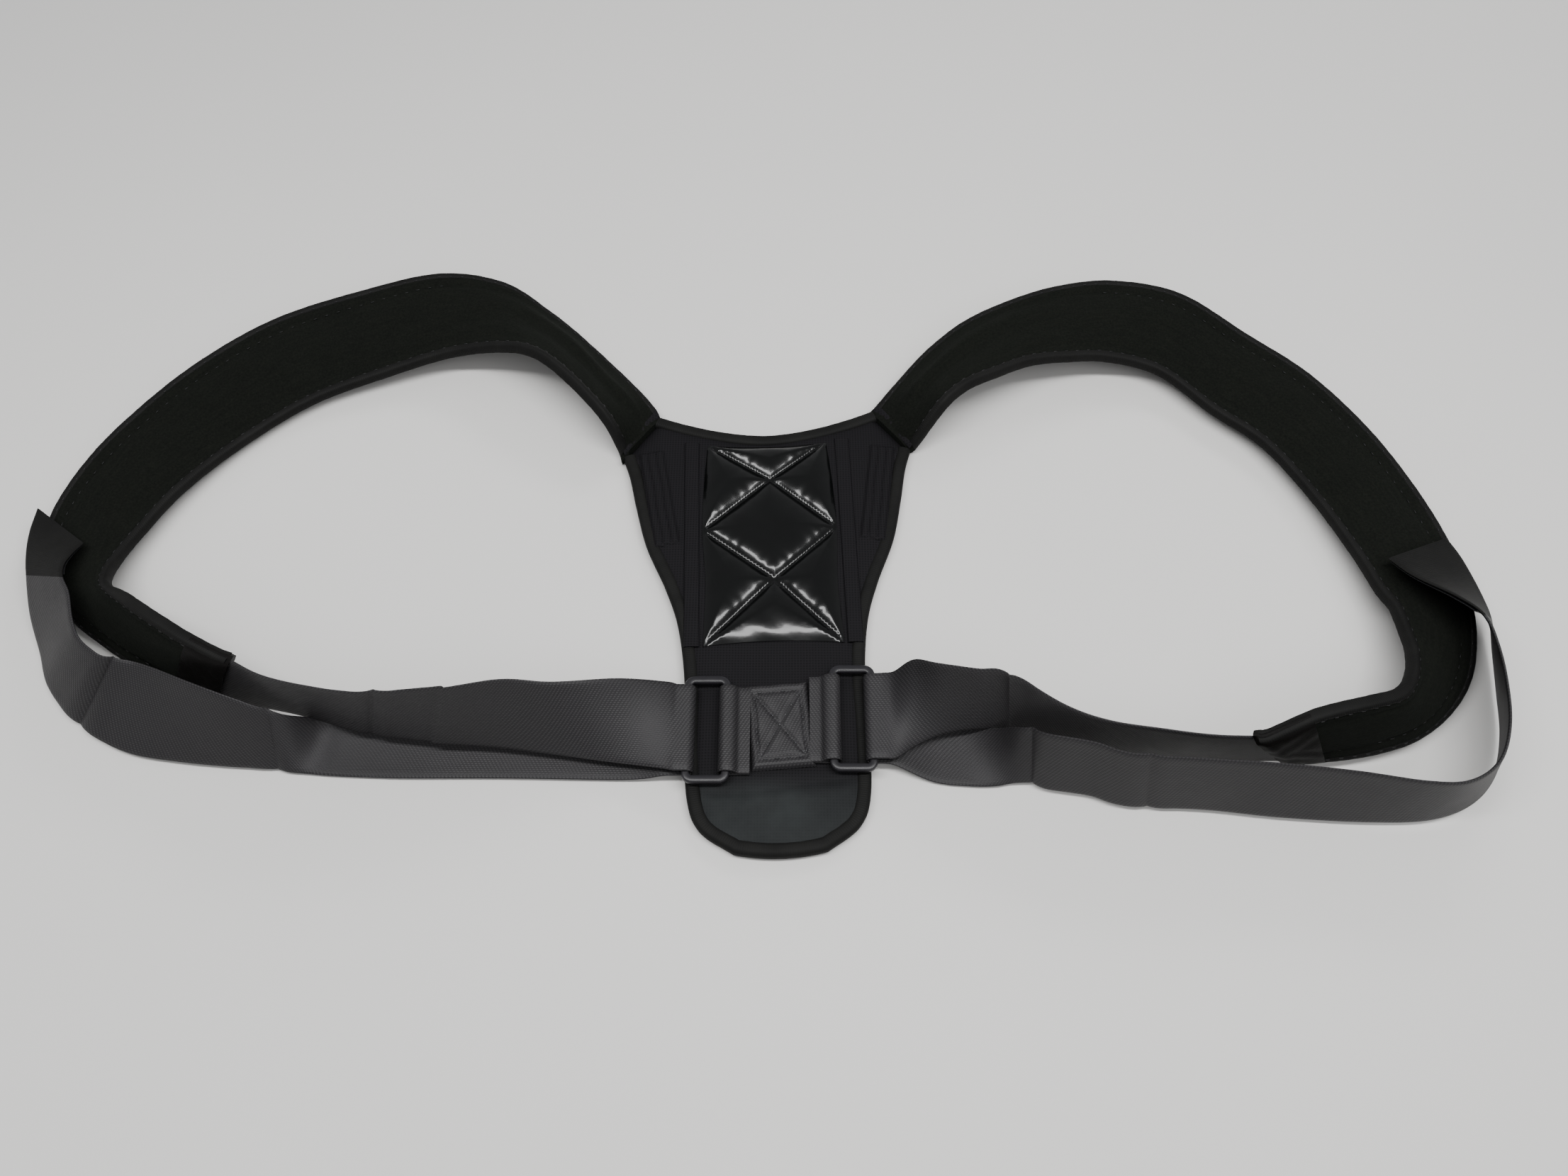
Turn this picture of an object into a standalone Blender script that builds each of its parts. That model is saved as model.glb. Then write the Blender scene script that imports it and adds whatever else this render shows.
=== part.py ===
"""Back brace (posture corrector): an Object Factory part, laid open on a flat surface with its outer face up.

Frame: metres, +Z up, +X to the right, +Y from the rounded tab towards the neckline. The origin lies on the
underside of the back panel's lining, near the middle of the panel, so z = 0 is the surface it lies on.

Every band (pad or webbing) is a list of stations. A station is the band's two edge points in millimetres:
the edge on the outside of its arm loop first, then the edge on the inside. Bands lie flat beside the panel
and stand on their outer edges at the far ends of the loops.
"""

from math import cos, radians, sin

import bmesh
import bpy
import numpy as np

MM = 0.001
GAP = 0.3  # air between neighbouring pieces

# Back panel, in its own (u, v) millimetres: u across, v up its middle line, which leans a little to the left.
PANEL_CENTRE_X = 2.4
PANEL_LEAN = radians(2.0)
LINING_Z = (0.0, 1.0)
FOAM_Z = (1.3, 4.0)
STAY_Z = (4.3, 5.3)
COVER_Z = (5.6, 6.4)
BINDING_WIDTH = 2.2
TAPE = 0.8
HALF_SIDE = [(45.5, -28), (49, 2), (56, 25), (66, 50), (72, 75), (76, 95), (80, 108)]
HALF_TAB = [(0, -122), (24, -119), (38, -108), (44, -92), (45.5, -60), (45.5, -28)]
HALF_NECK = [(0, 121), (28, 125), (46, 131), (60, 136)]

INSERT_Z = (6.7, 9.6)
INSERT_SKIN = 0.8
INSERT_HALF = [(32, 114), (35, 88), (36, 57), (34.5, 25), (36, -12)]
BAND_U = (37.5, 46.0)
BAND_V = (-12.0, 116.0)
STAY_SIZE = (9.0, 110.0)
SLEEVE_SIZE = (14.0, 62.0)
STAY_LEAN = radians(9.0)

# Webbing, rings and the anchor that holds both rings on the panel.
WEB_WIDTH = 45.0
WEB = 1.6
RING_LENGTH, RING_DEPTH, RING_BAR, RING_CORNER = 52.0, 19.0, 2.0, 3.0
RING_Z = 10.5
WING_AXIS = {"left": (-46.75, 44.25, 7.5), "right": (51.25, 49.25, 7.5)}  # on each fold line
RING_BARS = {"left": (-20.0, -60.0, -1), "right": (32.0, -54.0, 1)}  # inner bar x, y and outward side
ANCHOR_TURN = radians(5.0)
ANCHOR_CENTRE = (6.0, -57.0)

# Shoulder pads: a cover, a foam core and a lining, with a binding on every edge.
PAD_SKIN = 0.9
PAD_FOAM = 4.0
PAD_SKIN_LIFT = PAD_FOAM / 2 + GAP + PAD_SKIN / 2
PAD_THICKNESS = 2 * PAD_SKIN_LIFT + PAD_SKIN

LEFT_PAD = [
    ((-63.1, 134.7, 3.6), (-82.7, 106.1, 3.6)),
    ((-66.3, 140, 4), (-83.5, 109.5, 8)),
    ((-80, 155, 6), (-91, 118, 26)),
    ((-108, 184, 9), (-113, 141, 33)),
    ((-130, 204, 12), (-132, 156, 34)),
    ((-158, 224, 16), (-154, 165, 27)),
    ((-196, 230, 18), (-184, 168, 18)),
    ((-240, 217, 18), (-219, 159, 12)),
    ((-290, 196, 16), (-260, 142, 8)),
    ((-330, 163, 14), (-294, 113, 7)),
    ((-360, 124, 12), (-318, 80, 10)),
    ((-376, 92, 11), (-332, 50, 12)),
    ((-384, 62, 9), (-336, 33, 16)),
    ((-381, 38, 7), (-335, 20, 22)),
    ((-371, 17, 6), (-330, 11, 29)),
    ((-355, 2, 6), (-321, 3, 38)),
    ((-336, -11, 6), (-309, -6, 46)),
    ((-315, -24, 6), (-292, -18, 51)),
    ((-295, -34, 6), (-272, -30, 50)),
    ((-278.5, -40.2, 6), (-256.5, -37.2, 47)),
    ((-273.6, -41.9, 6.2), (-251.5, -39.0, 47)),
]
RIGHT_PAD = [
    ((58.5, 139.0, 3.6), (80.0, 111.9, 3.6)),
    ((62.6, 143.5, 4), (82.5, 113, 8)),
    ((76, 158, 8), (96, 124, 28)),
    ((92, 176, 12), (109, 135, 31)),
    ((114, 195, 15), (126, 145, 29)),
    ((143, 211, 16), (147, 156, 26)),
    ((172, 222, 16), (170, 162, 22)),
    ((205, 226, 16), (194, 165, 18)),
    ((243, 217, 15), (223, 159, 13)),
    ((278, 188, 12), (249, 133, 11)),
    ((309, 160, 10), (273, 110, 11)),
    ((334, 122, 9), (292, 76, 11)),
    ((350, 82, 9), (305, 40, 13)),
    ((359, 46, 9), (311, 14, 16)),
    ((361, 18, 9), (314, 3, 19)),
    ((358, -8, 8), (314, -11, 22)),
    ((349, -32, 7), (312, -26, 27)),
    ((334, -50, 6), (305, -42, 34)),
    ((314, -63, 6), (293, -55, 43)),
    ((291, -70, 6), (274, -62, 48)),
    ((270, -73, 6), (251, -68, 48)),
    ((256.5, -73.9, 6), (228.5, -76.6, 43)),
    ((251.5, -74.2, 6.2), (223.5, -77.2, 43)),
]

# Straps. Each runs from its pad's tip to the ring, round the outer bar, and back out below as the lower run,
# whose tail turns up round the end of the loop and fastens on the pad's outer face with a hook patch.
LEFT_UPPER = [
    ((-271, -43.8, 8), (-249.6, -41.2, 47)),
    ((-245, -48, 9), (-232, -51, 52)),
    ((-222, -53.5, 9.5), (-210, -57, 53)),
    ((-199, -61, 10), (-187, -60, 53)),
    ((-166, -66, 10), (-152, -57, 52)),
    ((-133, -68, 9), (-123, -51, 49)),
    ((-100, -72, 8.5), (-101, -49, 42)),
    ((-70, -77, 9), (-72, -42, 30)),
    ((-50, -81, 12.5), (-50, -38, 18)),
]
LEFT_LOWER = [
    ((-50, -82.5, 6.6), (-50, -37.5, 6.6)),
    ((-70, -83, 2.4), (-70, -38, 2.4)),
    ((-129, -82, 2), (-129, -38, 2)),
    ((-175, -82, 2), (-175, -44, 2)),
    ((-205, -81, 2), (-207, -54, 5)),
    ((-224, -79, 2), (-224, -60, 16)),
    ((-240, -77, 2), (-238, -58, 32)),
    ((-262, -76, 2.5), (-254, -55, 40)),
    ((-284, -74, 3), (-272, -48, 39)),
    ((-308, -70, 3), (-293, -38, 33)),
    ((-327, -62, 3), (-307, -33, 31)),
    ((-346, -49, 3), (-319, -32, 35)),
    ((-361, -33, 3), (-331, -24, 36)),
    ((-370, -15, 3), (-337, -14, 37)),
    ((-379, 5, 7), (-343, 1, 37)),
    ((-384, 25, 13), (-350, 11, 35)),
    ((-387.5, 39, 14.5), (-353.5, 20, 32)),
    ((-388.5, 51, 16), (-354, 29, 28)),
    ((-388, 64, 17), (-353, 38, 23.5)),
]
RIGHT_UPPER = [
    ((62, -75.5, 12.5), (62, -32.5, 18)),
    ((72, -68, 10), (70, -34, 34)),
    ((86, -62, 9.5), (80, -42, 46)),
    ((104, -58, 10), (97, -48, 52)),
    ((117, -57, 11), (111, -51, 54)),
    ((142, -71, 11), (135, -67, 54)),
    ((166, -74, 10), (155, -74, 52)),
    ((192, -74, 8), (179, -77, 50)),
    ((220, -74.5, 7), (202, -78, 46)),
    ((248.5, -74.4, 6.5), (222, -77.3, 42)),
]
RIGHT_LOWER = [
    ((62, -77.5, 6.6), (62, -32.5, 6.6)),
    ((80, -84, 2.4), (80, -44, 2.4)),
    ((97, -86, 2), (97, -55, 4)),
    ((110, -86, 2), (110, -61, 14)),
    ((123, -84, 2.5), (119, -69, 34)),
    ((137, -88, 3), (131, -78, 46)),
    ((154, -91, 3), (148, -82, 47)),
    ((170, -96, 3), (163, -87, 47)),
    ((208, -98, 3), (198, -90, 47)),
    ((242, -102, 3), (230, -92, 46)),
    ((282, -104, 3), (264, -95, 45)),
    ((313, -103, 3), (295, -100, 45)),
    ((335, -95, 3), (314, -99, 44)),
    ((350, -80, 3), (330, -89, 43)),
    ((359, -60, 3), (340, -71, 43)),
    ((364, -38, 3), (345, -50, 43)),
    ((368, -15, 4), (347, -30, 42)),
    ((370, 2, 7), (346, -13, 40)),
    ((366.5, 14, 11.5), (336, -2, 39)),
    ((360.5, 33, 15), (323, 14, 31)),
    ((355.5, 46, 15.5), (316, 27.5, 25.5)),
]


def start_scene():
    """Empty the scene and make one collection for the brace and the pivots of its joints."""
    for obj in list(bpy.data.objects):
        bpy.data.objects.remove(obj)
    made = bpy.data.collections.new("back_brace")
    bpy.context.scene.collection.children.link(made)
    return made


BRACE = start_scene()


def material(name, colour, roughness, metallic=0.0):
    """A Principled material of one colour, given as sRGB 0 to 1."""
    made = bpy.data.materials.new(name)
    made.use_nodes = True
    shader = made.node_tree.nodes["Principled BSDF"]
    linear = [((c + 0.055) / 1.055) ** 2.4 if c > 0.04045 else c / 12.92 for c in colour]
    shader.inputs["Base Color"].default_value = (*linear, 1.0)
    shader.inputs["Roughness"].default_value = roughness
    shader.inputs["Metallic"].default_value = metallic
    return made


PAD_FABRIC = material("pad_fabric", (0.09, 0.10, 0.09), 0.9)
PANEL_FABRIC = material("panel_fabric", (0.14, 0.13, 0.14), 0.85)
FOAM = material("foam", (0.20, 0.20, 0.20), 1.0)
LINING_MESH = material("lining_mesh", (0.12, 0.12, 0.12), 0.9)
BINDING_TAPE = material("binding_tape", (0.10, 0.10, 0.10), 0.7)
PATENT = material("patent_vinyl", (0.05, 0.055, 0.06), 0.1)
WEBBING = material("webbing", (0.18, 0.18, 0.18), 0.7)
HOOK = material("hook_patch", (0.08, 0.08, 0.08), 0.6)
RING_PLASTIC = material("ring_plastic", (0.16, 0.16, 0.16), 0.35)
ALUMINIUM = material("stay_aluminium", (0.75, 0.75, 0.77), 0.4, 1.0)


def add(name, data, finish):
    """Put new mesh or curve data into the brace's collection as a named object."""
    obj = bpy.data.objects.new(name, data)
    data.materials.append(finish)
    BRACE.objects.link(obj)
    return obj


def smooth_path(points, steps):
    """Catmull-Rom curve through the points, with the given number of steps in each span."""
    points = np.asarray(points, float)
    ends = np.vstack([2 * points[0] - points[1], points, 2 * points[-1] - points[-2]])
    path = []
    for i in range(len(points) - 1):
        a, b, c, d = ends[i : i + 4]
        for t in np.arange(steps) / steps:
            path.append(0.5 * (2 * b + (c - a) * t + (2 * a - 5 * b + 4 * c - d) * t**2
                               + (3 * b - a - 3 * c + d) * t**3))
    path.append(points[-1])
    return np.array(path)


def panel_xy(u, v):
    """A point of the leaning panel in the brace's frame, in millimetres."""
    x = PANEL_CENTRE_X + u * cos(PANEL_LEAN) - v * sin(PANEL_LEAN)
    return x, v * cos(PANEL_LEAN) + u * sin(PANEL_LEAN)


def plate(name, outline, z, finish, turned=panel_xy):
    """A flat outline extruded between two heights: a filled 2D curve."""
    curve = bpy.data.curves.new(name, "CURVE")
    curve.dimensions = "2D"
    curve.fill_mode = "BOTH"
    curve.extrude = (z[1] - z[0]) / 2 * MM
    spline = curve.splines.new("POLY")
    spline.points.add(len(outline) - 1)
    for point, (u, v) in zip(spline.points, outline):
        x, y = turned(u, v)
        point.co = (x * MM, y * MM, 0, 1)
    spline.use_cyclic_u = True
    obj = add(name, curve, finish)
    obj.location.z = (z[0] + z[1]) / 2 * MM
    return obj


def mirrored(half):
    """The same points on the left half, from the last to the first, without any on the middle line."""
    return [(-u, v) for u, v in reversed(half) if u]


def inset(outline, distance, closed=True):
    """An outline moved inwards, to the left of its direction of travel, with mitred corners."""
    points = np.asarray(outline, float)
    along = np.roll(points, -1, 0) - points
    if not closed:
        along[-1] = along[-2]
    along /= np.linalg.norm(along, axis=1)[:, None]
    left = np.column_stack([-along[:, 1], along[:, 0]])
    before = np.roll(left, 1, 0)
    if not closed:
        before[0] = left[0]
    mitre = (left + before) / (1 + (left * before).sum(1))[:, None]
    return [tuple(p) for p in points + distance * mitre]


def panel_edges():
    """The panel's edges, anticlockwise: the side and tab from armhole to armhole, and the neckline back."""
    left_tab = [(-u, v) for u, v in reversed(HALF_TAB[1:-1])]
    side = smooth_path([*mirrored(HALF_SIDE), *left_tab, *HALF_TAB, *HALF_SIDE[1:]], 2)
    neck = smooth_path([*reversed(HALF_NECK), *[(-u, v) for u, v in HALF_NECK[1:]]], 2)
    return [tuple(p) for p in side], [tuple(p) for p in neck]


def build_panel():
    """The back panel: lining, foam and cover laid on each other, two stays, and the bindings on its edges."""
    side, neck = panel_edges()
    inner_side = inset(side, BINDING_WIDTH + GAP, closed=False)
    inner_neck = inset(neck, BINDING_WIDTH + GAP, closed=False)
    whole = inner_side + inner_neck
    plate("panel_lining", whole, LINING_Z, LINING_MESH)
    plate("panel_foam", inset(whole, 0.5), FOAM_Z, FOAM)
    plate("panel_cover", whole, COVER_Z, PANEL_FABRIC)
    for name, edge in (("panel_binding", side), ("neck_binding", neck)):
        strip = edge + inset(edge, BINDING_WIDTH, closed=False)[::-1]
        plate(name, strip, (LINING_Z[0], COVER_Z[1]), BINDING_TAPE)


def rectangle(centre, size, turn):
    """The corners of a turned rectangle, anticlockwise."""
    half_u, half_v = size[0] / 2, size[1] / 2
    corners = [(-half_u, -half_v), (half_u, -half_v), (half_u, half_v), (-half_u, half_v)]
    x, y = centre
    return [(x + u * cos(turn) - v * sin(turn), y + u * sin(turn) + v * cos(turn)) for u, v in corners]


def build_stays():
    """A flat aluminium stay under the cover on each side, and the sleeve tape sewn over its upper end."""
    for name, side in (("left", -1), ("right", 1)):
        lean = -side * STAY_LEAN
        plate(f"{name}_stay", rectangle((side * 48.0, 50.0), STAY_SIZE, lean), STAY_Z, ALUMINIUM)
        sleeve_z = (COVER_Z[1] + GAP, COVER_Z[1] + GAP + TAPE)
        plate(f"{name}_stay_sleeve", rectangle((side * 59.5, 80.0), SLEEVE_SIZE, lean), sleeve_z, PANEL_FABRIC)


def build_insert():
    """The quilted patent insert: wadding under a skin with a skirt, and a plain band down each side."""
    half = smooth_path(INSERT_HALF, 2)
    outline = [tuple(p) for p in half[::-1]] + [(-u, v) for u, v in half]
    plate("insert_wadding", inset(outline, INSERT_SKIN + GAP), INSERT_Z, FOAM)
    bm = bmesh.new()
    top = INSERT_Z[1] + GAP + INSERT_SKIN
    rim = [bm.verts.new((*(MM * c for c in panel_xy(u, v)), top * MM)) for u, v in outline]
    lid = bm.faces.new(rim)
    skirt = bmesh.ops.extrude_edge_only(bm, edges=lid.edges)
    down = [v for v in skirt["geom"] if isinstance(v, bmesh.types.BMVert)]
    bmesh.ops.translate(bm, verts=down, vec=(0, 0, (INSERT_Z[0] - top) * MM))
    bmesh.ops.recalc_face_normals(bm, faces=bm.faces)
    if lid.normal.z < 0:
        bmesh.ops.reverse_faces(bm, faces=bm.faces)
    mesh = bpy.data.meshes.new("insert_skin")
    bm.to_mesh(mesh)
    bm.free()
    skin = add("insert_skin", mesh, PATENT)
    shell = skin.modifiers.new("skin", "SOLIDIFY")
    shell.thickness = INSERT_SKIN * MM
    shell.offset = -1
    shell.use_even_offset = True
    for name, side in (("left", -1), ("right", 1)):
        u = sorted((side * BAND_U[0], side * BAND_U[1]))
        band = [(u[0], BAND_V[0]), (u[1], BAND_V[0]), (u[1], BAND_V[1]), (u[0], BAND_V[1])]
        plate(f"{name}_insert_band", band, (COVER_Z[1] + GAP, COVER_Z[1] + GAP + TAPE), PANEL_FABRIC)


def ruled_surface(stations, steps=2):
    """Edge points of a band's middle surface, as rows of (outer, inner) pairs, and one unit normal per row.

    The normals point to the band's outer face, the one that looks up and towards the tab.
    """
    edges = np.stack([smooth_path([s[side] for s in stations], steps) for side in (0, 1)], axis=1)
    across = edges[:, 1] - edges[:, 0]
    along = np.gradient(edges, axis=0)
    normals = np.cross(along, across[:, None])
    normals = (normals / np.linalg.norm(normals, axis=2)[:, :, None]).sum(1)
    if normals.sum(0) @ (0, -0.5, 0.87) < 0:
        normals = -normals
    return edges, normals / np.linalg.norm(normals, axis=1)[:, None]


def shortened(edges):
    """The rows with the first and the last pulled in by a gap, so that bands in line do not touch."""
    edges = edges.copy()
    for end, neighbour in ((0, 1), (-1, -2)):
        step = edges[neighbour] - edges[end]
        edges[end] += GAP * step / np.linalg.norm(step, axis=1)[:, None]
    return edges


def band(name, surface, rows, thickness, finish, lift=0.0, first=0.0, last=0.0):
    """A band of even thickness along some rows of a surface, lifted off it towards its outer face.

    First and last say how far in from the two edges it starts and ends; a positive last counts from the
    outer edge. Every piece of one pad uses the same normals, so the gaps between them stay even.
    The section is a rectangle, lofted from row to row.
    """
    edges, normals = surface
    edges = shortened(edges[rows])
    normals = normals[rows]
    width = np.linalg.norm(edges[:, 1] - edges[:, 0], axis=1)[:, None]
    ends = (first / width, (last if last > 0 else width + last) / width)
    low, high = [], []
    for t in ends:
        middle = edges[:, 0] * (1 - t) + edges[:, 1] * t
        low.append(middle + (lift - thickness / 2) * normals)
        high.append(middle + (lift + thickness / 2) * normals)
    bm = bmesh.new()
    sections = [[bm.verts.new(tuple(p * MM)) for p in row] for row in zip(low[0], low[1], high[1], high[0])]
    for a, b in zip(sections, sections[1:]):
        for i, j in ((0, 1), (2, 3), (1, 2), (3, 0)):
            corners = (a[i], a[j], b[j], b[i])
            start = 0 if i in (0, 1) else 1
            bm.faces.new((corners[start], corners[start + 1], corners[start + 2]))
            bm.faces.new((corners[start], corners[start + 2], corners[(start + 3) % 4]))
    bm.faces.new(sections[0])
    bm.faces.new(sections[-1][::-1])
    bmesh.ops.recalc_face_normals(bm, faces=bm.faces)
    mesh = bpy.data.meshes.new(name)
    bm.to_mesh(mesh)
    bm.free()
    return add(name, mesh, finish)


def build_pad(side, stations, steps=2):
    """One shoulder pad, its seam to the panel, and the bindings on its edges and across its tip."""
    surface = ruled_surface(stations, steps)
    last = len(surface[0])
    seam, pad, tip = slice(0, steps + 1), slice(steps, last - steps), slice(last - steps - 1, last)
    edge = BINDING_WIDTH + GAP
    far_edge = -(edge + 0.8)
    band(f"{side}_shoulder_seam", surface, seam, PAD_THICKNESS - 1.5, PANEL_FABRIC)
    band(f"{side}_pad_lining", surface, pad, PAD_SKIN, LINING_MESH, -PAD_SKIN_LIFT, edge, far_edge)
    band(f"{side}_pad_foam", surface, pad, PAD_FOAM, FOAM, 0, edge, far_edge)
    band(f"{side}_pad_cover", surface, pad, PAD_SKIN, PAD_FABRIC, PAD_SKIN_LIFT, edge, far_edge)
    band(f"{side}_pad_outer_binding", surface, pad, PAD_THICKNESS, BINDING_TAPE, 0, 0, BINDING_WIDTH)
    width = np.linalg.norm(surface[0][pad, 1] - surface[0][pad, 0], axis=1)[:, None]
    band(f"{side}_pad_inner_binding", surface, pad, PAD_THICKNESS, BINDING_TAPE, 0, width - BINDING_WIDTH, 0)
    band(f"{side}_tip_binding", surface, tip, PAD_THICKNESS, BINDING_TAPE)


def build_straps(side, upper, lower, tail_spans=3, steps=2):
    """One strap: the upper run, the lower run, and its tail with the hook patch that fastens it on the pad."""
    run = ruled_surface(upper, steps)
    band(f"{side}_upper_strap", run, slice(None), WEB, WEBBING)
    run = ruled_surface(lower, steps)
    split = len(run[0]) - 1 - tail_spans * steps
    band(f"{side}_lower_strap", run, slice(0, split + 1), WEB, WEBBING)
    tail = slice(split, None)
    band(f"{side}_tail", run, tail, WEB, WEBBING)
    band(f"{side}_hook_patch", run, tail, TAPE, HOOK, -(WEB + TAPE) / 2 - GAP, 1, -1)
    return run[0][split].mean(0) + run[1][split] * WEB / 2


def build_ring(side):
    """A moulded rectangular ring with round bars; the anchor holds its inner bar and the strap its outer one."""
    x, y, outward = RING_BARS[side]
    curve = bpy.data.curves.new(f"{side}_ring", "CURVE")
    curve.dimensions = "3D"
    curve.bevel_depth = RING_BAR * MM
    curve.bevel_resolution = 2
    spline = curve.splines.new("POLY")
    corners = []
    for i, (sx, sy) in enumerate(((1, 1), (-1, 1), (-1, -1), (1, -1))):
        for a in (0, 30, 60, 90):
            turn = radians(90 * i + a)
            corners.append((sx * (RING_DEPTH / 2 - RING_CORNER) + RING_CORNER * cos(turn),
                            sy * (RING_LENGTH / 2 - RING_CORNER) + RING_CORNER * sin(turn)))
    spline.points.add(len(corners) - 1)
    for point, (cx, cy) in zip(spline.points, corners):
        point.co = ((cx + outward * RING_DEPTH / 2) * MM, cy * MM, 0, 1)
    spline.use_cyclic_u = True
    ring = add(f"{side}_ring", curve, RING_PLASTIC)
    ring.location = (x * MM, y * MM, RING_Z * MM)


def loop_stations(path, y):
    """Stations of a webbing loop that is bent only in the x-z plane: path points (x, z) at one y."""
    return [((x, y - WEB_WIDTH / 2, z), (x, y + WEB_WIDTH / 2, z)) for x, z in path]


def bar_turn(x, outward, start, end):
    """Points round a ring bar at the radius of the webbing's middle; 0 degrees is straight outward."""
    radius = RING_BAR + GAP + WEB / 2
    return [(x + outward * radius * cos(radians(a)), RING_Z + radius * sin(radians(a)))
            for a in np.linspace(start, end, 7)]


def build_anchor():
    """The webbing that holds the rings: a base layer on the cover, a loop round each inner bar, a sewn top."""
    base = COVER_Z[1] + GAP
    top = base + WEB + GAP

    def turned(u, v):
        return (ANCHOR_CENTRE[0] + u * cos(ANCHOR_TURN) - v * sin(ANCHOR_TURN),
                ANCHOR_CENTRE[1] + u * sin(ANCHOR_TURN) + v * cos(ANCHOR_TURN))

    plate("anchor_base", rectangle((0, 0), (27.0, WEB_WIDTH), 0), (base, base + WEB), WEBBING, turned)
    plate("anchor_patch", rectangle((0, 0), (27.0, WEB_WIDTH - 4), 0), (top, top + WEB), WEBBING, turned)
    for side, (x, y, outward) in RING_BARS.items():
        inner = x - outward * 9.0
        path = [(inner, base + WEB / 2 + 0.15), *bar_turn(x, outward, -90, 90), (inner, RING_Z + 2.2)]
        band(f"{side}_anchor_loop", ruled_surface(loop_stations(path, y), 1), slice(None), WEB, WEBBING)


def build_wrap(side):
    """The bend of a strap round the outer bar of its ring, from the lower run to the upper run."""
    x, y, outward = RING_BARS[side]
    bar = x + outward * RING_DEPTH
    ends = bar + outward * 10.0
    path = [(ends, 7.0), *bar_turn(bar, -outward, -90, 90), (ends, 14.2)]
    band(f"{side}_strap_wrap", ruled_surface(loop_stations(path, y), 1), slice(None), WEB, WEBBING)


def pivot(name, place, pieces, parent=None):
    """An empty on a joint's axis, which holds the pieces that turn with it; nothing moves as they join it."""
    empty = bpy.data.objects.new(name, None)
    empty.empty_display_size = 20 * MM
    BRACE.objects.link(empty)
    empty.location = [c * MM for c in place]
    if parent:
        empty.parent = parent
        empty.location -= parent.location
    for piece in pieces:
        obj = bpy.data.objects[piece]
        obj.parent = empty
        obj.location = [a - b * MM for a, b in zip(obj.location, place)]
    return empty


def build_side(side, pad, upper, lower):
    """One arm loop: its pad, strap and ring, and the pivots of its wing, its ring and its tail."""
    build_ring(side)
    build_pad(side, pad)
    tail_hinge = build_straps(side, upper, lower)
    build_wrap(side)
    pad_layers = ("lining", "foam", "cover", "outer_binding", "inner_binding")
    wing = [f"{side}_pad_{layer}" for layer in pad_layers]
    wing += [f"{side}_{piece}" for piece in ("tip_binding", "upper_strap", "lower_strap")]
    wing_pivot = pivot(f"{side}_wing_pivot", WING_AXIS[side], wing)
    x, y, _ = RING_BARS[side]
    pivot(f"{side}_ring_pivot", (x, y, RING_Z), [f"{side}_ring", f"{side}_strap_wrap"], wing_pivot)
    pivot(f"{side}_tail_pivot", tail_hinge, [f"{side}_tail", f"{side}_hook_patch"], wing_pivot)


build_panel()
build_stays()
build_insert()
build_anchor()
build_side("left", LEFT_PAD, LEFT_UPPER, LEFT_LOWER)
build_side("right", RIGHT_PAD, RIGHT_UPPER, RIGHT_LOWER)
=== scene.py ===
"""Looks of the back brace: cloth, quilting, webbing and moulded rings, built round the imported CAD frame.

Lengths in the sections are millimetres in the brace's own frame; each mesh is written in metres.
"""

import bmesh
import bpy
import numpy as np
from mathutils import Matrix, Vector


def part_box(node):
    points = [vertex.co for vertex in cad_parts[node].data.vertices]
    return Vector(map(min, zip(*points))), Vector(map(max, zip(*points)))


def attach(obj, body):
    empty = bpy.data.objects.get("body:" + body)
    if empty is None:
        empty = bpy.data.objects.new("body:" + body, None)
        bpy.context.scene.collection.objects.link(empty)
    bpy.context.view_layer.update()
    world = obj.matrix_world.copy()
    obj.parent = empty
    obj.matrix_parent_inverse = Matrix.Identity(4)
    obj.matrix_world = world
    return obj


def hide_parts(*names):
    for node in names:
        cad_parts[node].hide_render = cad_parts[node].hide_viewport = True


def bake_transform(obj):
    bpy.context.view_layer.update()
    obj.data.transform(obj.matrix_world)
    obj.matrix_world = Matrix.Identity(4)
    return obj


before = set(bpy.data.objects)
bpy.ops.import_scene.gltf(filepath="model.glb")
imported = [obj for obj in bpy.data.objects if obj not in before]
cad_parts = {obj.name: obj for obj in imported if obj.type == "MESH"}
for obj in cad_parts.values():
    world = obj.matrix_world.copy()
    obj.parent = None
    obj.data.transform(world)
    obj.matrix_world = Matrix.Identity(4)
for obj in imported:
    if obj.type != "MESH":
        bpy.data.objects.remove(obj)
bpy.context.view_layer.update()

# ---------------------------------------------------------------------------------------------------------
# Room: a pale sheet of paper under the brace, three soft boxes and a dim sky. The camera stands over the tab
# end and looks down at the panel.

MM = 0.001
CAMERA_AT = (8.0, -296.5, 556.9)
CAMERA_AIM = (8.0, 25.0, 0.0)
LENS, SENSOR = 28.03, 36.0
FLOOR_SIZE, FLOOR_DROP = 30000.0, 0.3
# name, place, aim, width, height, power in watts
SOFT_BOXES = [
    ("strip_box", (0, -110, 1060), (0, 57, 0), 1500, 120, 21.0),
    ("far_box", (520, 1150, 900), (0, 60, 0), 900, 260, 7.0),
    ("fill_box", (700, -900, 1300), (0, 0, 0), 1200, 900, 9.0),
]
SKY_STRENGTH = 0.62


def linear(colour):
    """An sRGB hex colour as linear RGBA."""
    parts = [int(colour[i : i + 2], 16) / 255 for i in (1, 3, 5)]
    return (*[((c + 0.055) / 1.055) ** 2.4 if c > 0.04045 else c / 12.92 for c in parts], 1.0)


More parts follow.
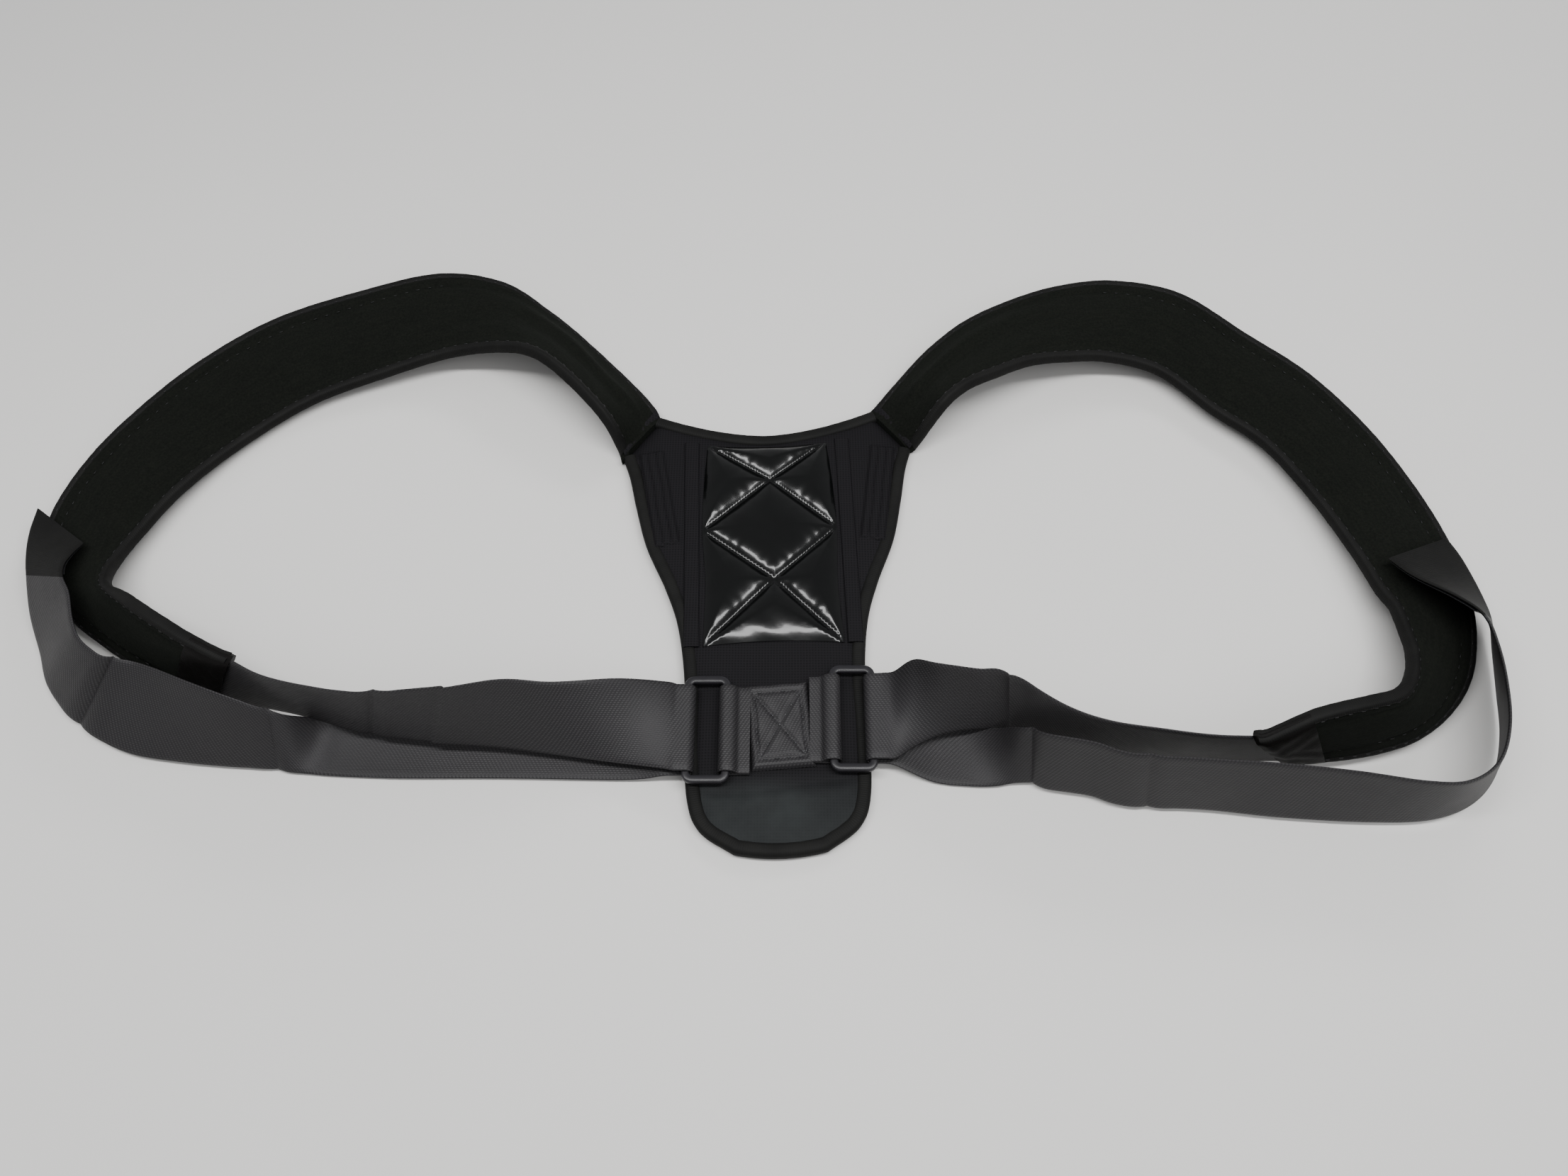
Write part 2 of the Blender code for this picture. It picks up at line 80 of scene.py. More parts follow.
def add_node(tree, kind, inputs=None, **settings):
    """One shader node with its settings; an input is a plain value or another node's output socket."""
    made = tree.nodes.new(kind)
    for name, value in settings.items():
        setattr(made, name, value)
    for name, value in (inputs or {}).items():
        if isinstance(value, bpy.types.NodeSocket):
            tree.links.new(value, made.inputs[name])
        else:
            made.inputs[name].default_value = value
    return made


def object_place(tree):
    """The shaded point in its object's own metres."""
    return add_node(tree, "ShaderNodeTexCoord").outputs["Object"]


def noise(tree, place, scale, detail):
    """Cloudy noise, 0 to 1."""
    return add_node(tree, "ShaderNodeTexNoise", {"Vector": place, "Scale": scale, "Detail": detail}).outputs["Fac"]


def mixed(tree, factor, first, second):
    """The first hex colour where the factor is 0, the second where it is 1."""
    return add_node(tree, "ShaderNodeMix", {"Factor": factor, "A": linear(first), "B": linear(second)},
                    data_type="RGBA").outputs["Result"]


def new_material(name, **sockets):
    """A Principled material with its even values set on the shader's own sockets; returns it, tree and shader."""
    made = bpy.data.materials.new(name)
    made.use_nodes = True
    shader = made.node_tree.nodes["Principled BSDF"]
    for socket, value in sockets.items():
        shader.inputs[socket.replace("_", " ")].default_value = value
    return made, made.node_tree, shader


def aim(obj, target):
    """Turns a light or a camera to look at a point, with its top edge up."""
    obj.rotation_euler = (Vector(target) * MM - obj.location).to_track_quat("-Z", "Y").to_euler()


def build_room():
    camera = bpy.data.objects.new("camera", bpy.data.cameras.new("camera"))
    camera.data.lens, camera.data.sensor_width = LENS, SENSOR
    camera.location = Vector(CAMERA_AT) * MM
    aim(camera, CAMERA_AIM)
    bpy.context.scene.collection.objects.link(camera)
    bpy.context.scene.camera = camera
    for name, place, target, width, height, watts in SOFT_BOXES:
        light = bpy.data.objects.new(name, bpy.data.lights.new(name, "AREA"))
        light.data.shape, light.data.size, light.data.size_y = "RECTANGLE", width * MM, height * MM
        light.data.energy = watts
        light.location = Vector(place) * MM
        aim(light, target)
        light.visible_glossy = name != "far_box"  # it only lightens; the gloss comes from the other two
        bpy.context.scene.collection.objects.link(light)
    world = bpy.data.worlds.new("sky")
    world.use_nodes = True
    world.node_tree.nodes["Background"].inputs["Color"].default_value = linear("#f2f3f5")
    world.node_tree.nodes["Background"].inputs["Strength"].default_value = SKY_STRENGTH
    bpy.context.scene.world = world


def build_floor():
    half = FLOOR_SIZE / 2 * MM
    corners = np.array([(-half, -half), (half, -half), (half, half), (-half, half)])
    mesh = bpy.data.meshes.new("floor")
    mesh.from_pydata(np.column_stack([corners, np.full(4, -FLOOR_DROP * MM)]).tolist(), [], [(0, 1, 2, 3)])
    floor = bpy.data.objects.new("floor", mesh)
    bpy.context.scene.collection.objects.link(floor)
    # Matt paper: even and pale, with a very faint mottle.
    paper, tree, shader = new_material("matt_paper", Roughness=0.9)
    place = object_place(tree)
    mottle = add_node(tree, "ShaderNodeTexNoise", {"Vector": place, "Scale": 3.0, "Detail": 2.0})
    tone = mixed(tree, mottle.outputs["Fac"], "#bab9b7", "#c0bfbd")
    tree.links.new(tone, shader.inputs["Base Color"])
    mesh.materials.append(paper)


build_room()
build_floor()

# ---------------------------------------------------------------------------------------------------------
# Back panel: foam between a woven nylon cover and a spacer-mesh lining, sewn shut under a folded tape. The
# cover is quilted in narrow channels over the two stays, and its rounded tab has one soft crease.

PANEL_CENTRE_X, PANEL_LEAN = 2.4, np.radians(2.0)
PANEL_TOP = 6.4
HALF_SIDE = [(22, -119.5), (38, -108), (44, -92), (45.5, -60), (45.5, -28), (49, 2), (56, 25), (66, 50),
             (72, 75), (76, 95), (80, 108)]
SHOULDER_TOP = (60, 136)
NECK_SAG, NECK_CURVE = 15.0, 1.7
TAB_BULGE = 2.5
BINDING_HALF = (3.6, 3.35)  # half its width over the face, half its height
STAY_U, STAY_V = 59.5, 80.0
STAY_LEAN = np.radians(9.0)
CHANNEL_PITCH, CHANNEL_HALF = 4.6, (8.2, 34.0)
CREASE_V = -88.0


def smooth_path(points, steps):
    """Catmull-Rom curve through the points, with the given number of steps in each span."""
    points = np.asarray(points, float)
    ends = np.concatenate([[2 * points[0] - points[1]], points, [2 * points[-1] - points[-2]]])
    t = (np.arange(steps) / steps).reshape(-1, *[1] * (points.ndim - 1))
    spans = []
    for i in range(len(points) - 1):
        a, b, c, d = ends[i : i + 4]
        spans.append(0.5 * (2 * b + (c - a) * t + (2 * a - 5 * b + 4 * c - d) * t**2
                            + (3 * b - a - 3 * c + d) * t**3))
    return np.concatenate([*spans, points[-1:]])


def even(path, spacing):
    """The path again, with points at even distances; a path of edge pairs goes by its middle line."""
    middle = path.mean(1) if path.ndim == 3 else path
    length = np.concatenate([[0], np.cumsum(np.linalg.norm(np.diff(middle, axis=0), axis=1))])
    wanted = np.linspace(0, length[-1], max(2, int(round(length[-1] / spacing)) + 1))
    flat = path.reshape(len(path), -1)
    return np.column_stack([np.interp(wanted, length, column) for column in flat.T]).reshape(-1, *path.shape[1:])


def ease(x, start, end):
    """0 before start, 1 after end, and a smooth step between."""
    t = np.clip((x - start) / (end - start), 0, 1)
    return t * t * (3 - 2 * t)


def bump(x, centre, width):
    """A bell of height 1 at the centre."""
    return np.exp(-(((x - centre) / width) ** 2))


def panel_xy(u, v):
    """The panel's own (u, v) in the brace's frame: a small turn to the left and a shift."""
    c, s = np.cos(PANEL_LEAN), np.sin(PANEL_LEAN)
    return PANEL_CENTRE_X + u * c - v * s, v * c + u * s


def mesh_object(name, points, faces, uv=None, sharp=40.0):
    """A named object from points in millimetres and index rows; uv holds one metric pair for each point."""
    mesh = bpy.data.meshes.new(name)
    mesh.from_pydata((np.asarray(points) * MM).tolist(), [], [tuple(f) for f in faces])
    if uv is not None:
        corners = np.zeros(len(mesh.loops), int)
        mesh.loops.foreach_get("vertex_index", corners)
        layer = mesh.uv_layers.new(name="weave")
        layer.data.foreach_set("uv", (np.asarray(uv) * MM)[corners].ravel())
    mesh.shade_smooth()
    mesh.set_sharp_from_angle(angle=np.radians(sharp))
    obj = bpy.data.objects.new(name, mesh)
    bpy.context.scene.collection.objects.link(obj)
    return obj


def grid_faces(rows, columns, start=0, round_rows=False, round_columns=False):
    """Quads between neighbouring points of a grid stored row by row, closed round either way if asked."""
    i = np.arange(rows if round_rows else rows - 1)[:, None]
    j = np.arange(columns if round_columns else columns - 1)[None, :]
    a, b = i * columns, (i + 1) % rows * columns
    c = (j + 1) % columns
    return (start + np.stack([a + j, a + c, b + c, b + j], axis=-1)).reshape(-1, 4)


def outward(obj):
    """Turns a closed mesh's faces outwards."""
    bm = bmesh.new()
    bm.from_mesh(obj.data)
    bmesh.ops.recalc_face_normals(bm, faces=bm.faces)
    bm.to_mesh(obj.data)
    bm.free()
    return obj


def quilt(name, top, bottom, uv, sharp=40.0):
    """A closed form from its top and bottom sheets, two grids of the same shape joined round their edges."""
    rows, columns = top.shape[:2]
    count = rows * columns
    index = np.arange(count).reshape(rows, columns)
    rim = np.concatenate([index[0, :-1], index[:-1, -1], index[-1, :0:-1], index[:0:-1, 0]])
    after = np.roll(rim, -1)
    wall = np.stack([rim, after, after + count, rim + count], axis=-1)
    faces = np.concatenate([grid_faces(rows, columns), grid_faces(rows, columns, count)[:, ::-1], wall])
    points = np.concatenate([top.reshape(-1, 3), bottom.reshape(-1, 3)])
    both = np.concatenate([uv.reshape(-1, 2)] * 2)
    return outward(mesh_object(name, points, faces, both, sharp))


def tube(name, centres, across, up, half_width, half_height, power=2.6, sides=14, closed=False):
    """A rounded bar along a path: at each point a superellipse, wide along across and high along up."""
    turn = np.linspace(0, 2 * np.pi, sides, endpoint=False)
    x = np.sign(np.cos(turn)) * np.abs(np.cos(turn)) ** (2 / power) * half_width
    y = np.sign(np.sin(turn)) * np.abs(np.sin(turn)) ** (2 / power) * half_height
    points = centres[:, None] + x[:, None] * across[:, None] + y[:, None] * up[:, None]
    rows = len(centres)
    faces = [tuple(f) for f in grid_faces(rows, sides, round_rows=closed, round_columns=True)]
    if not closed:
        faces += [tuple(range(sides)), tuple(range((rows - 1) * sides, rows * sides))]
    step = np.linalg.norm(np.diff(centres, axis=0), axis=1)
    along = np.concatenate([[0], np.cumsum(step)])
    around = turn * (half_width + half_height) / 2
    uv = np.stack(np.broadcast_arrays(along[:, None], around[None, :]), axis=-1).reshape(-1, 2)
    return outward(mesh_object(name, points.reshape(-1, 3), faces, uv))


def unit(vectors):
    return vectors / np.linalg.norm(vectors, axis=-1, keepdims=True)


def panel_sides():
    """Half-width and height of the panel's edge as the rows of its grid climb from the tab to the neckline."""
    side = even(smooth_path(HALF_SIDE, 8), 1.8)
    shoulder = even(np.array([HALF_SIDE[-1], SHOULDER_TOP], float), 1.8)[1:]
    return np.concatenate([side, shoulder])


def panel_rows(inset=0.0, columns=90):
    """Flat (u, v) of the panel's grid. A row bows down at the tab and sags in the middle like the neckline."""
    side = panel_sides()
    along = np.gradient(side, axis=0)
    normal = unit(np.column_stack([along[:, 1], -along[:, 0]]))
    side = side - inset * normal
    if inset:
        side[-1, 1] -= inset
        side[0, 1] += inset
    t = np.linspace(-1, 1, columns)
    u = side[:, :1] * t
    sag = NECK_SAG * ease(side[:, 1:], 40, SHOULDER_TOP[1])
    bow = TAB_BULGE * (1 - ease(side[:, 1:], -118, -80))
    v = side[:, 1:] - sag * (1 - np.abs(t) ** NECK_CURVE) - bow * (1 - t**2)
    rim = (1 - np.abs(t)) * side[:, :1]
    return u, v, rim, side


def stay_axes(u, v):
    """Distance across and along each stay channel, from its middle, on whichever side a point lies."""
    side = np.sign(u)
    du, dv = np.abs(u) - STAY_U, v - STAY_V
    c, s = np.cos(STAY_LEAN), np.sin(STAY_LEAN)
    return (du * c - dv * s) * side, du * s + dv * c, (du * c - dv * s)


def panel_height(u, v, rim):
    """Height of the cover: foam that rounds off to the edges, sewn channels over the stays, a creased tab."""
    crown = 1.0 - 0.55 * np.exp(-rim / 3.5)
    z = PANEL_TOP * crown
    _, along, across = stay_axes(u, v)
    inside = (1 - ease(np.abs(across), CHANNEL_HALF[0] - 0.8, CHANNEL_HALF[0] + 0.4))
    inside = inside * (1 - ease(np.abs(along), CHANNEL_HALF[1] - 4, CHANNEL_HALF[1]))
    ribs = np.abs(np.cos(np.pi * across / CHANNEL_PITCH)) ** 0.6
    z = z + inside * (0.95 * ribs - 0.55)
    crease = CREASE_V + 2.2 * np.sin(u / 17.0) + 0.0009 * u**2
    z = z - 1.3 * bump(v, crease, 2.4) * (1 - ease(np.abs(u), 26, 40))
    z = z + 0.55 * bump(v, crease - 9, 7.0) * (1 - ease(np.abs(u), 22, 38))
    return z + 0.16 * np.sin(u / 9.0 + v / 23.0) + 0.14 * np.sin(v / 11.0 - u / 31.0)


def nylon():
    """Woven pack nylon: a plain weave of dull black yarn with a violet cast that catches light on its crowns."""
    made, tree, shader = new_material("woven_pack_nylon", Roughness=0.7, Specular_IOR_Level=0.06)
    place = object_place(tree)
    # Yarns are 1.5 mm apart, coarser than real pack nylon, so that the weave shows.
    waves = [add_node(tree, "ShaderNodeTexWave", {"Vector": place, "Scale": 2 * np.pi / 20 / (1.5 * MM),
                                                  "Distortion": 0.6, "Detail": 1.0, "Detail Scale": 2.0},
                      bands_direction=axis).outputs["Fac"] for axis in ("X", "Y")]
    weave = add_node(tree, "ShaderNodeMath", {0: waves[0], 1: waves[1]}, operation="MAXIMUM").outputs[0]
    wear = add_node(tree, "ShaderNodeTexNoise", {"Vector": place, "Scale": 38.0, "Detail": 5.0, "Roughness": 0.6})
    tone = mixed(tree, wear.outputs["Fac"], "#070708", "#0e0e0f")
    lift = add_node(tree, "ShaderNodeMix", {"Factor": weave, "A": tone,
                                            "B": linear("#141315")}, data_type="RGBA")
    # The tab is pulled on each time the brace is put on, and its middle has worn in patches to a paler grey.
    height = add_node(tree, "ShaderNodeSeparateXYZ", {"Vector": place}).outputs["Y"]
    rubbed = add_node(tree, "ShaderNodeMapRange", {"Value": height, "From Min": -0.078, "From Max": -0.096},
                      interpolation_type="SMOOTHSTEP").outputs["Result"]
    rubbed = add_node(tree, "ShaderNodeMath", {0: rubbed, 1: wear.outputs["Fac"]}, operation="MULTIPLY").outputs[0]
    wear_and_highlight = add_node(tree, "ShaderNodeMix", {"Factor": rubbed, "A": lift.outputs["Result"],
                                            "B": linear("#282b2b")}, data_type="RGBA")
    tree.links.new(wear_and_highlight.outputs["Result"], shader.inputs["Base Color"])
    fine = add_node(tree, "ShaderNodeBump", {"Height": weave, "Strength": 0.35, "Distance": 0.12 * MM})
    soft = add_node(tree, "ShaderNodeBump", {"Height": wear.outputs["Fac"], "Strength": 0.5, "Distance": 0.7 * MM,
                                             "Normal": fine.outputs["Normal"]})
    tree.links.new(soft.outputs["Normal"], shader.inputs["Normal"])
    return made


def spacer_mesh():
    """Polyester spacer mesh: a matt black knit with round holes 2.4 mm apart."""
    made, tree, shader = new_material("polyester_spacer_mesh", Roughness=0.9, Specular_IOR_Level=0.1)
    place = object_place(tree)
    cells = add_node(tree, "ShaderNodeTexVoronoi", {"Vector": place, "Scale": 1 / (2.4 * MM), "Randomness": 0.15})
    edge = add_node(tree, "ShaderNodeMapRange", {"Value": cells.outputs["Distance"], "From Min": 0.2,
                                                 "From Max": 0.45}, interpolation_type="SMOOTHSTEP")
    tone = mixed(tree, edge.outputs["Result"], "#08080a", "#171718")
    tree.links.new(tone, shader.inputs["Base Color"])
    dent = add_node(tree, "ShaderNodeBump", {"Height": edge.outputs["Result"], "Strength": 0.7,
                                             "Distance": 0.5 * MM})
    tree.links.new(dent.outputs["Normal"], shader.inputs["Normal"])
    return made


def folded_tape():
    """Folded polyester tape: a fine rib across its width, in tones that vary at random from near black to a little
    paler.
    """
    made, tree, shader = new_material("folded_polyester_tape", Roughness=0.62, Specular_IOR_Level=0.07)
    uv = add_node(tree, "ShaderNodeUVMap", uv_map="weave").outputs["UV"]
    place = object_place(tree)
    # The rib is 1.1 mm, coarser than real tape, so that it shows.
    rib = add_node(tree, "ShaderNodeTexWave", {"Vector": uv, "Scale": 2 * np.pi / 20 / (1.1 * MM), "Distortion": 0.3},
                   bands_direction="X").outputs["Fac"]
    wear = noise(tree, place, 60.0, 4.0)
    tone = mixed(tree, wear, "#0c0c0c", "#171716")
    tree.links.new(tone, shader.inputs["Base Color"])
    fine = add_node(tree, "ShaderNodeBump", {"Height": rib, "Strength": 0.4, "Distance": 0.15 * MM})
    soft = add_node(tree, "ShaderNodeBump", {"Height": wear, "Strength": 0.4, "Distance": 0.5 * MM,
                                             "Normal": fine.outputs["Normal"]})
    tree.links.new(soft.outputs["Normal"], shader.inputs["Normal"])
    return made


NYLON, MESH, TAPE = nylon(), spacer_mesh(), folded_tape()


def build_panel():
    """The stuffed panel as one closed form: the cover above, the lining below."""
    u, v, rim, _ = panel_rows(inset=1.2)
    edge = np.minimum(rim, np.minimum(v - v.min(0), v.max(0) - v))
    x, y = panel_xy(u, v)
    top = np.dstack([x, y, panel_height(u, v, edge)])
    bottom = np.dstack([x, y, 0.35 + 0.9 * np.exp(-edge / 2.5)])
    panel = quilt("panel_body", top, bottom, np.dstack([x, y]))
    panel.data.materials.append(NYLON)
    panel.data.materials.append(MESH)
    count = top.shape[0] * top.shape[1]
    for face in panel.data.polygons:
        face.material_index = int(min(face.vertices) >= count)
    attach(panel, "back_panel")
    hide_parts("panel_cover", "panel_foam", "panel_lining")


def tape_round(name, outline, half, z, node_names, body):
    """Tape folded over an edge: a flattened tube along the (u, v) outline, just inside it."""
    outline = even(np.asarray(outline, float), 1.6)
    along = unit(np.gradient(outline, axis=0))
    inward = np.column_stack([-along[:, 1], along[:, 0]])
    middle = outline + inward * half[0]
    x, y = panel_xy(*middle.T)
    ax, ay = panel_xy(*(middle + inward).T)
    n = len(outline)
    pucker = 0.10 * np.sin(np.arange(n) * 1.35) + 0.07 * np.sin(np.arange(n) * 0.61)
    centres = np.column_stack([x, y, np.full(n, z) + pucker * 0.4])
    across = np.column_stack([ax - x, ay - y, np.zeros(n)])
    up = np.tile([0.0, 0.0, 1.0], (n, 1)) * (1 + 0.03 * pucker[:, None])
    made = tube(name, centres, across, up, half[0], half[1], power=3.0)
    made.data.materials.append(TAPE)
    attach(made, body)
    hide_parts(*node_names)
    return middle


def build_panel_binding():
    half_side = smooth_path(HALF_SIDE, 8)
    tab = [(u, -119.5 - TAB_BULGE * (1 - (u / 22) ** 2)) for u in np.linspace(-22, 22, 12)[1:-1]]
    mirrored = half_side[::-1] * (-1, 1)
    side = np.concatenate([mirrored, tab, half_side])
    t = np.linspace(1, -1, 40)
    neck = np.column_stack([SHOULDER_TOP[0] * t, SHOULDER_TOP[1] - NECK_SAG * (1 - np.abs(t) ** NECK_CURVE)])
    z = BINDING_HALF[1] + 0.05
    tape_round("panel_edge_tape", side, BINDING_HALF, z, ["panel_binding"], "back_panel")
    tape_round("neckline_tape", neck, BINDING_HALF, z, ["neck_binding"], "back_panel")


build_panel()
build_panel_binding()

# ---------------------------------------------------------------------------------------------------------
# Stays: two flat aluminium strips inside the panel, which keep the back straight. They are the CAD's own
# solids, hidden under the cover.

aluminium, tree, shader = new_material("brushed_aluminium", Metallic=1.0, Roughness=0.38)
place = object_place(tree)
stretched = add_node(tree, "ShaderNodeMapping", {"Vector": place, "Scale": (900.0, 30.0, 900.0)}).outputs["Vector"]
grain = noise(tree, stretched, 1.0, 3.0)
tone = mixed(tree, grain, "#a9abae", "#d3d5d8")
tree.links.new(tone, shader.inputs["Base Color"])
tree.links.new(add_node(tree, "ShaderNodeBump", {"Height": grain, "Strength": 0.2, "Distance": 0.05 * MM})
               .outputs["Normal"], shader.inputs["Normal"])
for stay in ("left_stay", "right_stay"):
    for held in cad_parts[stay].material_slots:
        held.material = aluminium

# ---------------------------------------------------------------------------------------------------------
# Quilted insert: glossy patent vinyl over wadding, sewn down along two crossing pairs of lines, which leaves
# seven plump pillows. A flat nylon band covers its raw edge on each side.

INSERT_BASE, INSERT_PUFF = 6.7, 5.6
LOWER_SLOPE = 0.55
INSERT_SIDE = [(36, -12), (34.5, 25), (36, 57), (35, 88), (33, 113.5)]
CROSS_HIGH, CROSS_LOW = (1.0, 89.0), (1.5, 26.0)
MID_LEFT, MID_RIGHT = (-36.0, 57.0), (36.0, 57.0)
QUILT_LINES = [((-33, 113), CROSS_HIGH), ((32, 113), CROSS_HIGH), (MID_LEFT, CROSS_HIGH), (MID_RIGHT, CROSS_HIGH),
               (MID_LEFT, CROSS_LOW), (MID_RIGHT, CROSS_LOW), ((-35, -11), CROSS_LOW), ((35, -11), CROSS_LOW)]


def to_segment(u, v, a, b):
    """Distance from each point to the straight line between a and b, and how far along it the point lies."""
    a, b = np.array(a, float), np.array(b, float)
    d = b - a
    t = np.clip(((u - a[0]) * d[0] + (v - a[1]) * d[1]) / (d @ d), 0, 1)
    return np.hypot(u - a[0] - t * d[0], v - a[1] - t * d[1]), t * np.hypot(*d)


def insert_height(u, v, rim):
    """Pillows: height rises with distance from the nearest seam, slower from the lower edge; soft rumples cross it."""
    near = np.minimum(rim, LOWER_SLOPE * (v - v.min(0)))
    gathers = np.zeros_like(u)
    for i, (a, b) in enumerate(QUILT_LINES):
        d, along = to_segment(u, v, a, b)
        near = np.minimum(near, d)
        gathers = gathers + np.sin(along * 0.95 + i) * bump(d, 4.0, 4.0) * (0.5 + 0.5 * np.sin(along * 0.31 + 2 * i))
    puff = INSERT_PUFF * (1 - np.exp(-near / 5.0)) * (1 - 0.25 * np.exp(-near / 14.0))
    rumple = 0.22 * np.sin(u * 0.23 + 1.7 * np.sin(v * 0.11)) * np.sin(v * 0.19 + 0.8 * np.sin(u * 0.13))
    return INSERT_BASE + 0.35 + puff + (0.09 * gathers + rumple) * (1 - np.exp(-near / 3.0))


def patent_vinyl():
    """Patent vinyl: a hard clear gloss over black cloth backing, with fine crinkles that break its reflections."""
    made, tree, shader = new_material("patent_vinyl_gloss", Roughness=0.2, IOR=1.25, Coat_Weight=0.2,
                                      Coat_Roughness=0.08)
    place = object_place(tree)
    crinkle = add_node(tree, "ShaderNodeTexNoise", {"Vector": place, "Scale": 210.0, "Detail": 3.0,
                                                    "Roughness": 0.55}).outputs["Fac"]
    rumple = noise(tree, place, 70.0, 2.0)
    tone = mixed(tree, rumple, "#020202", "#050606")
    tree.links.new(tone, shader.inputs["Base Color"])
    first = add_node(tree, "ShaderNodeBump", {"Height": rumple, "Strength": 0.3, "Distance": 0.7 * MM})
    second = add_node(tree, "ShaderNodeBump", {"Height": crinkle, "Strength": 0.15, "Distance": 0.25 * MM,
                                               "Normal": first.outputs["Normal"]})
    tree.links.new(second.outputs["Normal"], shader.inputs["Normal"])
    tree.links.new(first.outputs["Normal"], shader.inputs["Coat Normal"])
    return made


def thread():
    """Bonded nylon thread: a smooth dark filament twisted from three strands."""
    made, tree, shader = new_material("bonded_nylon_thread", Roughness=0.5, Specular_IOR_Level=0.2)
    place = object_place(tree)
    twist = noise(tree, place, 900.0, 2.0)
    tone = mixed(tree, twist, "#0e0e0f", "#1d1d1e")
    tree.links.new(tone, shader.inputs["Base Color"])
    return made


THREAD = thread()
STITCH_PITCH, STITCH_LENGTH, STITCH_RADIUS = 3.4, 2.5, 0.34


def stitches(name, path, up, body=None, radius=STITCH_RADIUS, pitch=STITCH_PITCH, length=STITCH_LENGTH, material=None):
    """A row of stitches on a path: each is a small spindle of three rings of six points between two tips."""
    rows = even(np.stack([path, up], axis=1), pitch / 2)
    centres = rows[1::2, 0]
    ahead = unit(rows[2::2, 0][: len(centres)] - rows[0::2, 0][: len(rows[2::2])]) if len(rows) > 2 else None
    centres = centres[: len(ahead)]
    lift = unit(rows[1::2, 1][: len(ahead)])
    side = unit(np.cross(ahead, lift))
    lift = np.cross(side, ahead)
    turn = np.linspace(0, 2 * np.pi, 6, endpoint=False)
    ring = np.cos(turn)[:, None, None] * side + np.sin(turn)[:, None, None] * lift
    tips = [centres - ahead * length / 2 - lift * radius * 0.6, centres + ahead * length / 2 - lift * radius * 0.6]
    rings = [centres + f * length * ahead + r * radius * ring for f, r in ((-0.36, 0.75), (0, 1), (0.36, 0.75))]
    stack = np.concatenate([tips[0][None], *rings, tips[1][None]])  # 20 points for each stitch
    n = len(centres)
    points = stack.transpose(1, 0, 2).reshape(-1, 3)
    one = [(0, 1 + (k + 1) % 6, 1 + k) for k in range(6)]
    quads = [(1 + 6 * r + k, 1 + 6 * r + (k + 1) % 6, 7 + 6 * r + (k + 1) % 6, 7 + 6 * r + k)
             for r in range(2) for k in range(6)]
    last = [(19, 13 + k, 13 + (k + 1) % 6) for k in range(6)]
    faces = [tuple(i + 20 * s for i in f) for s in range(n) for f in one + quads + last]
    made = mesh_object(name, points, faces, sharp=80.0)
    made.data.materials.append(material or THREAD)
    if body:
        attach(made, body)
    return made


def joined(name, parts):
    """Several new objects of one material made into one object."""
    bm = bmesh.new()
    for part in parts:
        bm.from_mesh(part.data)
    target = parts[0]
    bm.to_mesh(target.data)
    bm.free()
    for part in parts[1:]:
        bpy.data.objects.remove(part)
    target.name = target.data.name = name
    return target


def build_insert():
    side = smooth_path(INSERT_SIDE, 24)
    t = np.linspace(-1, 1, 150)
    u, v = side[:, :1] * t, np.broadcast_to(side[:, 1:], (len(side), 150))
    v = v - 2.0 * (1 - t**2) * (ease(v, 60, 113) - ease(-v, -20, 12))
    rim = np.minimum((1 - np.abs(t)) * side[:, :1], np.minimum(v - v.min(0), v.max(0) - v))
    x, y = panel_xy(u, v)
    top = np.dstack([x, y, insert_height(u, v, rim)])
    bottom = np.dstack([x, y, np.full_like(x, INSERT_BASE)])
    insert = quilt("insert_quilt", top, bottom, np.dstack([x, y]), sharp=75.0)
    insert.data.materials.append(patent_vinyl())
    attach(insert, "back_panel")
    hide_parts("insert_skin", "insert_wadding")
    rows = []
    for i, (a, b) in enumerate(QUILT_LINES):
        line = even(np.array([a, b], float), 2.0)
        lx, ly = panel_xy(*line.T)
        path = np.column_stack([lx, ly, np.full(len(lx), INSERT_BASE + 0.55)])
        rows.append(stitches(f"quilt_row_{i}", path, np.tile([0, 0, 1.0], (len(lx), 1)), radius=0.3))
    thread_rows = joined("insert_stitching", rows)
    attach(thread_rows, "back_panel")


def build_insert_bands():
    for side, sign in (("left", -1), ("right", 1)):
        v = np.linspace(-12, 116, 90)[:, None]
        a = np.linspace(-1, 1, 16)[None, :]
        u = sign * (41.75 + 4.1 * a) + 0 * v
        vv = v + 0 * a
        roll = (1 - np.abs(a) ** 6) ** (1 / 6)
        wave = 0.12 * np.sin(vv * 0.33) + 0.1 * np.sin(vv * 0.12 + 1)
        x, y = panel_xy(u, vv)
        top = np.dstack([x, y, 6.35 + 0.25 + 0.75 * roll + 0.25 * (1 - a**2) + wave * (1 - a**2)])
        bottom = np.dstack([x, y, np.full_like(x, 6.2)])
        band = quilt(f"{side}_insert_tape", top, bottom, np.dstack([vv, u]))
        band.data.materials.append(NYLON)
        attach(band, "back_panel")
        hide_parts(f"{side}_insert_band")


build_insert()
build_insert_bands()
# ---------------------------------------------------------------------------------------------------------
# Stay sleeves: a flat strip of the panel's nylon over the upper end of each stay, sewn down with its ribs
# running lengthwise.

SLEEVE_SIZE, SLEEVE_RISE = (14.0, 62.0), 0.55


